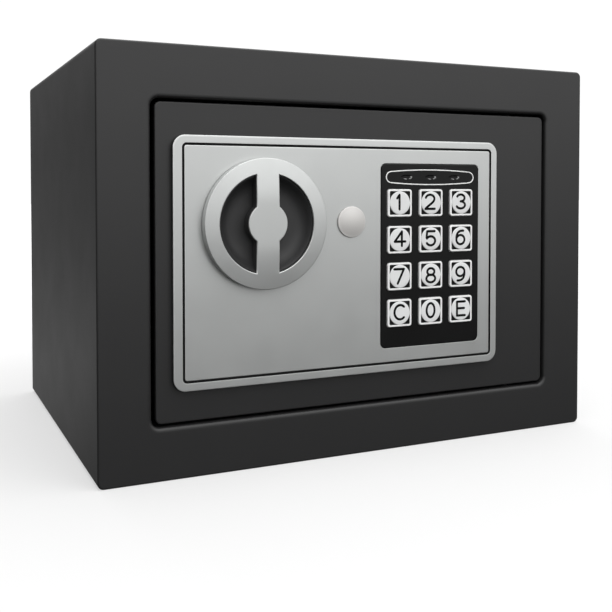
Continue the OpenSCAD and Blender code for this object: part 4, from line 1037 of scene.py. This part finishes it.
def make_inner_cover():
    s = Shape()
    lo, hi = span_mm("inner_cover")
    t, yb, y0 = 1.2, hi.y, lo.y
    r = 1.6
    out = rr(lo.x, lo.z, hi.x, hi.z, 2.0, n=8)
    # Swept from the open front at the door to the closed back; y runs the other way here
    def left_side(a, b):
        return a.x < lo.x + 0.01 and b.x < lo.x + 0.01 and abs(a.z - b.z) > 50
    prof = [(-r + r * math.sin(math.radians(a)), yb - r + r * math.cos(math.radians(a))) for a in (0, 15, 30, 45, 60, 75, 90)] + [(0, y0)]
    back, rim, rings = sweep(s, out, prof, n0=(0, 1), skip=left_side)
    inner = rr(lo.x + t, lo.z + t, hi.x - t, hi.z - t, 0.8, n=8)
    pts, nor = inner(0)
    a = s.add([(x, y0, z) for x, z in pts])
    b = s.add([(x, yb - t, z) for x, z in pts])
    inward = [Vector((-n[0], 0, -n[1])) for n in nor]
    s.skin(a, b, inward, inward, skip=lambda p, q: p.x < lo.x + t + 0.01 and q.x < lo.x + t + 0.01 and abs(p.z - q.z) > 50)
    s.fill(rim, [a], (0, -1, 0))
    # Back face: battery opening, screw dimples, reset hole
    back_holes, front_holes = [], []
    zc = ZC
    for c, rad in ((rr(3, zc - 39, 57, zc + 21, 1.0, n=5), 0.3), (circ(30, zc + 38, 3.4, 32), 0.35)):
        f, l, _ = sweep(s, c, [(rad, yb), (rad * 0.3, yb - rad * 0.3), (0, yb - rad), (0, yb - t)], hole=True, n0=(0, 1))
        back_holes.append(f)
        front_holes.append(l)
    for cx, cz in ((-78, lo.z + 6), (-78, hi.z - 6), (55, lo.z + 6), (55, hi.z - 6)):
        f, l, _ = sweep(s, circ(cx, cz, 1.7, 28), [(0.15, yb), (0, yb - 0.15), (0, yb - t)], hole=True)
        back_holes.append(f)
        front_holes.append(l)
    s.fill(back, back_holes, (0, 1, 0))
    s.fill(b, front_holes, (0, -1, 0))
    # Left wall with the two bolt holes, strip by strip of the rounded edge
    bl, bh = span_mm("locking_bolts")
    by = (bl.y + bh.y) / 2
    bzs = (bl.z + (bh.y - bl.y) / 2, bh.z - (bh.y - bl.y) / 2)
    for wall_x, ring_a, ring_b, nx in ((lo.x, rings[-2], rings[-1], -1), (lo.x + t, b, a, 1)):
        pairs = [(ring_a, ring_b)]
        if nx < 0:
            for p, q in zip(rings, rings[1:-1]):
                n = len(p)
                for i in range(n):
                    j = (i + 1) % n
                    if s.v[p[i]].x < lo.x + 2.1 and s.v[p[j]].x < lo.x + 2.1 and abs(s.v[p[i]].z - s.v[p[j]].z) > 50:
                        if left_side(s.v[p[i]], s.v[p[j]]):
                            k = rings.index(p)
                            s.face([p[i], p[j], q[j], q[i]], [Vector((-1, 0, 0))] * 4)
        n = len(ring_a)
        for i in range(n):
            j = (i + 1) % n
            p, q = s.v[ring_a[i]], s.v[ring_a[j]]
            if p.x < wall_x + 0.01 and q.x < wall_x + 0.01 and abs(p.z - q.z) > 50:
                holes = []
                for bz in bzs:
                    holes.append(s.add([(wall_x, by + 6.5 * math.cos(2 * math.pi * k / 40), bz + 6.5 * math.sin(2 * math.pi * k / 40)) for k in range(40)]))
                s.fill([ring_a[i], ring_a[j], ring_b[j], ring_b[i]], holes, (nx, 0, 0))
                if nx < 0:
                    outer_holes = holes
                else:
                    for ho, hi_ in zip(outer_holes, holes):
                        nn = [Vector((0, -math.cos(2 * math.pi * k / 40), -math.sin(2 * math.pi * k / 40))) for k in range(40)]
                        s.skin(ho, hi_, nn, nn)
    return s.piece("door_inner_cover", [INNER_PAINT], "door", ["inner_cover"])


def make_battery_lid():
    s = Shape()
    lo, hi = span_mm("battery_cover")
    y_in, y_out = lo.y, hi.y - 0.5
    mid = y_out - 1.37                    # a hair clear of the cover it lies on
    zc = ZC
    # Raised rim, slightly sunk field with a row of grip ribs
    out = rr(0.8, zc - 41.2, 59.2, zc + 23.2, 3, n=9)
    prof = [(-2.7, y_out - 0.30), (-2.4, y_out - 0.29), (-2.1, y_out - 0.14), (-1.85, y_out - 0.02), (-1.65, y_out), (-0.55, y_out), (-0.25, y_out - 0.08), (-0.06, y_out - 0.3), (0, y_out - 0.6), (0, mid)]
    field, rim, _ = sweep(s, out, prof, n0=(0, 1))
    skirt = rr(3.4, zc - 38.6, 56.6, zc + 20.6, 1.0, n=9)
    top_ring, low_ring, _ = sweep(s, skirt, [(0, mid), (0, y_in)])
    s.fill(rim, [top_ring], (0, -1, 0))
    s.fill(low_ring, [], (0, -1, 0))
    # Finger grip: a shallow scoop with ribs
    scoop = rr(20.4, zc + 11.3, 39.6, zc + 20.2, 1.6, n=6)
    f, l, _ = sweep(s, scoop, [(0.25, y_out - 0.30), (0.1, y_out - 0.36), (0, y_out - 0.55), (-0.1, y_out - 0.75)], hole=True, n0=(0, 1))
    s.fill(field, [f], (0, 1, 0))
    s.fill(l, [], (0, 1, 0))
    for z in (13, 15, 17, 19):
        rib = rr(22, zc + z, 38, zc + z + 0.9, 0.42, n=4)
        a, b, _ = sweep(s, rib, [(-0.30, hi.y - 0.02), (-0.12, hi.y - 0.08), (0, hi.y - 0.3), (0, y_out - 0.9)], n0=(0, 1))
        s.fill(a, [], (0, 1, 0))
        s.fill(b, [], (0, -1, 0))
    return s.piece("battery_lid", [BLACK_PLASTIC], "battery_lid", ["battery_cover"])


def make_cells():
    lo, hi = span_mm("batteries")
    y = (lo.y + hi.y) / 2
    for i in range(4):
        z = ZC - 31.5 + 15 * i
        sg = -1 if i % 2 else 1
        s = Shape()
        prof = [(0, -25.25), (5.2, -25.25), (5.5, -25.0), (5.5, -24.72), (6.4, -24.72), (6.9, -24.5), (7.0, -24.1), (7.0, 12.0), (7.0, 23.2), (6.85, 23.65), (6.4, 23.9),
                (5.2, 23.9), (5.0, 23.72), (3.2, 23.72), (2.8, 23.9), (2.7, 24.95), (2.45, 25.25), (0, 25.25)]
        mats = [2, 2, 2, 0, 0, 0, 0, 1, 1, 1, 1, 2, 2, 2, 2, 2, 2]
        lathe(s, (30, y, z), (sg, 0, 0), prof, n=40, mats=mats)
        s.piece("cell_%d" % (i + 1), [SLEEVE, FOIL, STEEL], "door", ["batteries"] if i == 0 else [])


def make_bolts():
    lo, hi = span_mm("locking_bolts")
    r = 6.0
    y = (lo.y + hi.y) / 2
    for i, z in enumerate((lo.z + r, hi.z - r)):
        s = Shape()
        x_back = hi.x
        length = hi.x - lo.x
        prof = [(0, 0), (4.8, 0), (5.4, 0.5), (5.4, 1.4), (4.0, 1.4), (4.0, 3.4), (5.2, 3.4), (6.0, 4.2), (6.0, length - 1.6), (5.9, length - 1.05), (5.6, length - 0.55), (5.1, length - 0.18), (4.5, length), (0, length)]
        lathe(s, (x_back, y, z), (-1, 0, 0), prof, n=64)
        s.piece("lock_bolt_%d" % (i + 1), [CHROME], "bolt_group", ["locking_bolts"] if i == 0 else [])


def make_cover_screws():
    lo, hi = span_mm("cover_screws")
    zs = (lo.z + 3.1, hi.z - 3.1)
    n = 0
    for x in (lo.x + 3.1, hi.x - 3.1):
        for z in zs:
            n += 1
            s = Shape()
            y = hi.y - 1.7
            prof = [(0, lo.y), (1.0, lo.y), (1.2, lo.y + 0.6), (1.2, y), (2.9, y), (3.1, y + 0.15), (3.1, y + 0.55), (2.9, y + 0.95), (2.45, y + 1.3)]
            rings = lathe(s, (x, 0, z), (0, 1, 0), prof, n=48)
            rim = rings[-1][0]
            # Cross recess with tapered walls
            a, b = 0.34, 1.62
            base = [(b, -a), (b, a), (a, a), (a, b), (-a, b), (-a, a), (-b, a), (-b, -a), (-a, -a), (-a, -b), (a, -b), (a, -a)]
            top = s.add([(x + p, y + 1.62, z + q) for p, q in base])
            mid = s.add([(x + 2.0 * math.cos(2 * math.pi * k / 48), y + 1.55, z + 2.0 * math.sin(2 * math.pi * k / 48)) for k in range(48)])
            # Join the lathe's rim to a ring in the same order
            order = sorted(range(48), key=lambda k: math.atan2(s.v[rim[k]].z - z, s.v[rim[k]].x - x) % (2 * math.pi))
            rim2 = [rim[k] for k in order]
            nn = [Vector((math.cos(2 * math.pi * k / 48) * 0.3, 1, math.sin(2 * math.pi * k / 48) * 0.3)).normalized() for k in range(48)]
            n2 = [Vector((math.cos(2 * math.pi * k / 48) * 0.12, 1, math.sin(2 * math.pi * k / 48) * 0.12)).normalized() for k in range(48)]
            s.skin(rim2, mid, nn, n2)
            s.fill(mid, [top], (0, 1, 0))
            low = s.add([(x + p * 0.7, y + 0.55, z + q * 0.7) for p, q in base])
            m = len(base)
            for k in range(m):
                j = (k + 1) % m
                e = Vector((base[j][0] - base[k][0], 0, base[j][1] - base[k][1]))
                wall = Vector((-e.z, 0.35 * e.length, e.x)).normalized()
                s.face([top[k], top[j], low[j], low[k]], [wall] * 4)
            s.fill(low, [], (0, 1, 0))
            s.piece("cover_screw_%d" % n, [BLACK_SCREW], "door", ["cover_screws"] if n == 1 else [])


make_cabinet()
make_back_panel()
make_mat()
make_door()
make_fascia()
make_knob()
make_cup()
make_cap()
make_keypad()
make_window()
for key in KEY_NAMES:
    make_key(key)
make_inner_cover()
make_battery_lid()
make_cells()
make_bolts()
make_cover_screws()

# The other CAD nodes stay as they are and get their finish
FINISH = {
    STEEL: ["pcb_screws", "fascia_screws", "hinge_brackets", "guide_rivets", "guide_studs",
            "solenoid_frame", "solenoid_screws", "lock_body", "lock_nut", "cover_posts", "battery_contacts", "knob_spindle",
            "crank_screw", "solenoid_plunger", "plunger_spring", "cam_screw"],
    YELLOW_ZINC: ["bolt_guide", "crank", "bolt_carriage", "lock_cam"],
    BRASS: ["knob_bush", "lock_plug"],
    BLACK_PLASTIC: ["battery_holder", "reset_switch"],
    LAMP: ["indicator_leds"],
    SILICONE: ["key_mat"],
    BOARD: ["keypad_pcb"],
    COIL_TAPE: ["solenoid_coil"],
    WIRE: ["wire_harness"],
    RED_PLASTIC: ["reset_button"],
    BLACK_OXIDE: ["hinge_lugs", "hinge_pins"],
}
for material, names in FINISH.items():
    for name in names:
        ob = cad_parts[name]
        if ob.material_slots:
            for slot in ob.material_slots:
                slot.link = "OBJECT"
                slot.material = material
        else:
            ob.data.materials.append(material)


# ---------------------------------------------------------------- floor, light, camera

def make_floor():
    me = bpy.data.meshes.new("floor")
    half, n = 6.0, 24
    verts = [(-half + 2 * half * i / n, -half + 2 * half * j / n, 0) for j in range(n + 1) for i in range(n + 1)]
    faces = [(j * (n + 1) + i, j * (n + 1) + i + 1, (j + 1) * (n + 1) + i + 1, (j + 1) * (n + 1) + i) for j in range(n) for i in range(n)]
    me.from_pydata(verts, [], faces)
    ob = bpy.data.objects.new("floor", me)
    scene.collection.objects.link(ob)
    g = Graph("pale_floor")
    g.link(g.mix(g.span(g.noise(3.0), 0, 1), (0.32, 0.32, 0.32), (0.33, 0.33, 0.33)), g.p.inputs["Base Color"])
    g.p.inputs["Roughness"].default_value = 1.0
    g.p.inputs["Specular IOR Level"].default_value = 0.0
    me.materials.append(g.mat)
    # Far away the floor runs into the white background
    sep = g.node("ShaderNodeSeparateXYZ")
    g.link(g.at, sep.inputs[0])
    far = g.span(sep.outputs["Y"], 0.50, 1.0, 0.15, 1.2)
    g.p.inputs["Emission Color"].default_value = (1, 1, 1, 1)
    g.link(far, g.p.inputs["Emission Strength"])
    ob.visible_glossy = False
    ob.visible_diffuse = False
    return ob


# The studio's brightness by height of direction, in front of the object and behind it
FRONT_SKY = ((-1, 0.02), (-0.4, 0.04), (-0.18, 0.12), (-0.02, 0.95), (0.12, 1.68), (0.35, 2.05), (0.7, 2.05), (1, 2.2))
BACK_SKY = ((-1, 0.05), (-0.45, 0.06), (-0.3, 0.21), (-0.19, 0.49), (-0.08, 0.30), (0.03, 0.235), (0.12, 0.30), (0.22, 0.46), (0.35, 0.50), (0.7, 0.9), (1, 2.2))


def make_world():
    w = bpy.data.worlds.new("studio")
    w.use_nodes = True
    scene.world = w
    t = w.node_tree
    bg = t.nodes["Background"]
    coord = t.nodes.new("ShaderNodeTexCoord")
    sep = t.nodes.new("ShaderNodeSeparateXYZ")
    t.links.new(coord.outputs["Generated"], sep.inputs[0])
    rng = t.nodes.new("ShaderNodeMapRange")
    rng.inputs["From Min"].default_value = -1
    rng.inputs["From Max"].default_value = 1
    t.links.new(sep.outputs["Z"], rng.inputs["Value"])
    side = t.nodes.new("ShaderNodeMapRange")
    side.interpolation_type = "SMOOTHSTEP"
    side.inputs["From Min"].default_value = -0.35
    side.inputs["From Max"].default_value = 0.10
    t.links.new(sep.outputs["Y"], side.inputs["Value"])
    blend = t.nodes.new("ShaderNodeMix")
    blend.data_type = "RGBA"
    t.links.new(side.outputs["Result"], blend.inputs["Factor"])
    for sock, stops in ((blend.inputs[6], FRONT_SKY), (blend.inputs[7], BACK_SKY)):
        ramp = t.nodes.new("ShaderNodeValToRGB")
        t.links.new(rng.outputs["Result"], ramp.inputs["Fac"])
        r = ramp.color_ramp
        r.elements[0].position = 0.0
        r.elements[1].position = 1.0
        for k, (up, v) in enumerate(stops):
            e = r.elements[0] if k == 0 else r.elements[-1] if k == len(stops) - 1 else r.elements.new((up + 1) / 2)
            e.color = (v / 3, v / 3, v / 3, 1)
        t.links.new(ramp.outputs["Color"], sock)
    # Less comes from the far left and right, and behind the box from the left
    def fall(x0, x1, p0, p1):
        f = t.nodes.new("ShaderNodeMapRange")
        f.interpolation_type = "SMOOTHSTEP"
        for key, value in (("From Min", x0), ("From Max", x1), ("To Min", p0), ("To Max", p1)):
            f.inputs[key].default_value = value
        t.links.new(sep.outputs["X"], f.inputs["Value"])
        return f.outputs["Result"]

    least = t.nodes.new("ShaderNodeMath")
    least.operation = "MINIMUM"
    t.links.new(fall(-0.95, -0.25, 0.9, 3.0), least.inputs[0])
    t.links.new(fall(0.58, 0.95, 3.05, 0.4), least.inputs[1])
    # A little more from the right above the horizon and less from below it
    low = t.nodes.new("ShaderNodeMapRange")
    low.interpolation_type = "SMOOTHSTEP"
    for key, value in (("From Min", -0.22), ("From Max", 0.03), ("To Min", -0.30), ("To Max", 0.12)):
        low.inputs[key].default_value = value
    t.links.new(sep.outputs["Z"], low.inputs["Value"])
    tilt = t.nodes.new("ShaderNodeMath")
    tilt.operation = "MULTIPLY_ADD"
    t.links.new(fall(0.30, 0.62, 0.0, 1.0), tilt.inputs[0])
    t.links.new(low.outputs["Result"], tilt.inputs[1])
    tilt.inputs[2].default_value = 1.0
    front = t.nodes.new("ShaderNodeMath")
    front.operation = "MULTIPLY"
    t.links.new(least.outputs[0], front.inputs[0])
    t.links.new(tilt.outputs[0], front.inputs[1])
    power = t.nodes.new("ShaderNodeMix")
    t.links.new(side.outputs["Result"], power.inputs[0])
    t.links.new(front.outputs[0], power.inputs[2])
    t.links.new(fall(-0.26, -0.10, 1.2, 4.1), power.inputs[3])
    t.links.new(blend.outputs[2], bg.inputs["Color"])
    t.links.new(power.outputs[0], bg.inputs["Strength"])
    path = t.nodes.new("ShaderNodeLightPath")
    white = t.nodes.new("ShaderNodeBackground")
    white.inputs["Color"].default_value = (1, 1, 1, 1)
    white.inputs["Strength"].default_value = 1.05
    mix = t.nodes.new("ShaderNodeMixShader")
    t.links.new(path.outputs["Is Camera Ray"], mix.inputs["Fac"])
    t.links.new(bg.outputs["Background"], mix.inputs[1])
    t.links.new(white.outputs["Background"], mix.inputs[2])
    t.links.new(mix.outputs["Shader"], t.nodes["World Output"].inputs["Surface"])


def area(name, place, target, size, power, size_y=None):
    l = bpy.data.lights.new(name, "AREA")
    l.shape = "RECTANGLE"
    l.size = size
    l.size_y = size_y or size
    l.energy = power
    ob = bpy.data.objects.new(name, l)
    scene.collection.objects.link(ob)
    ob.location = place
    ob.rotation_euler = (Vector(target) - Vector(place)).to_track_quat("-Z", "Y").to_euler()
    return ob


make_floor()
make_world()
area("key_softbox", (0.20, -0.95, 1.25), (0, 0, 0.08), 1.6, 2.0)
area("overhead_softbox", (0.25, 0.15, 1.60), (0, 0, 0), 1.6, 6.0)

cam = bpy.data.cameras.new("camera")
cam.lens = 51.33
cam.sensor_width = 36
cam.shift_x = -0.0005
cam.shift_y = -0.1522
cam.clip_start = 0.01
cam_ob = bpy.data.objects.new("camera", cam)
scene.collection.objects.link(cam_ob)
cam_ob.location = (-0.1801, -0.4126, 0.1126)
cam_ob.rotation_euler = (math.radians(88.4), 0, math.radians(-24.92))
scene.camera = cam_ob

scene.view_settings.view_transform = "Standard"
scene.view_settings.look = "None"
scene.view_settings.exposure = 0.0
scene.view_settings.gamma = 1.0
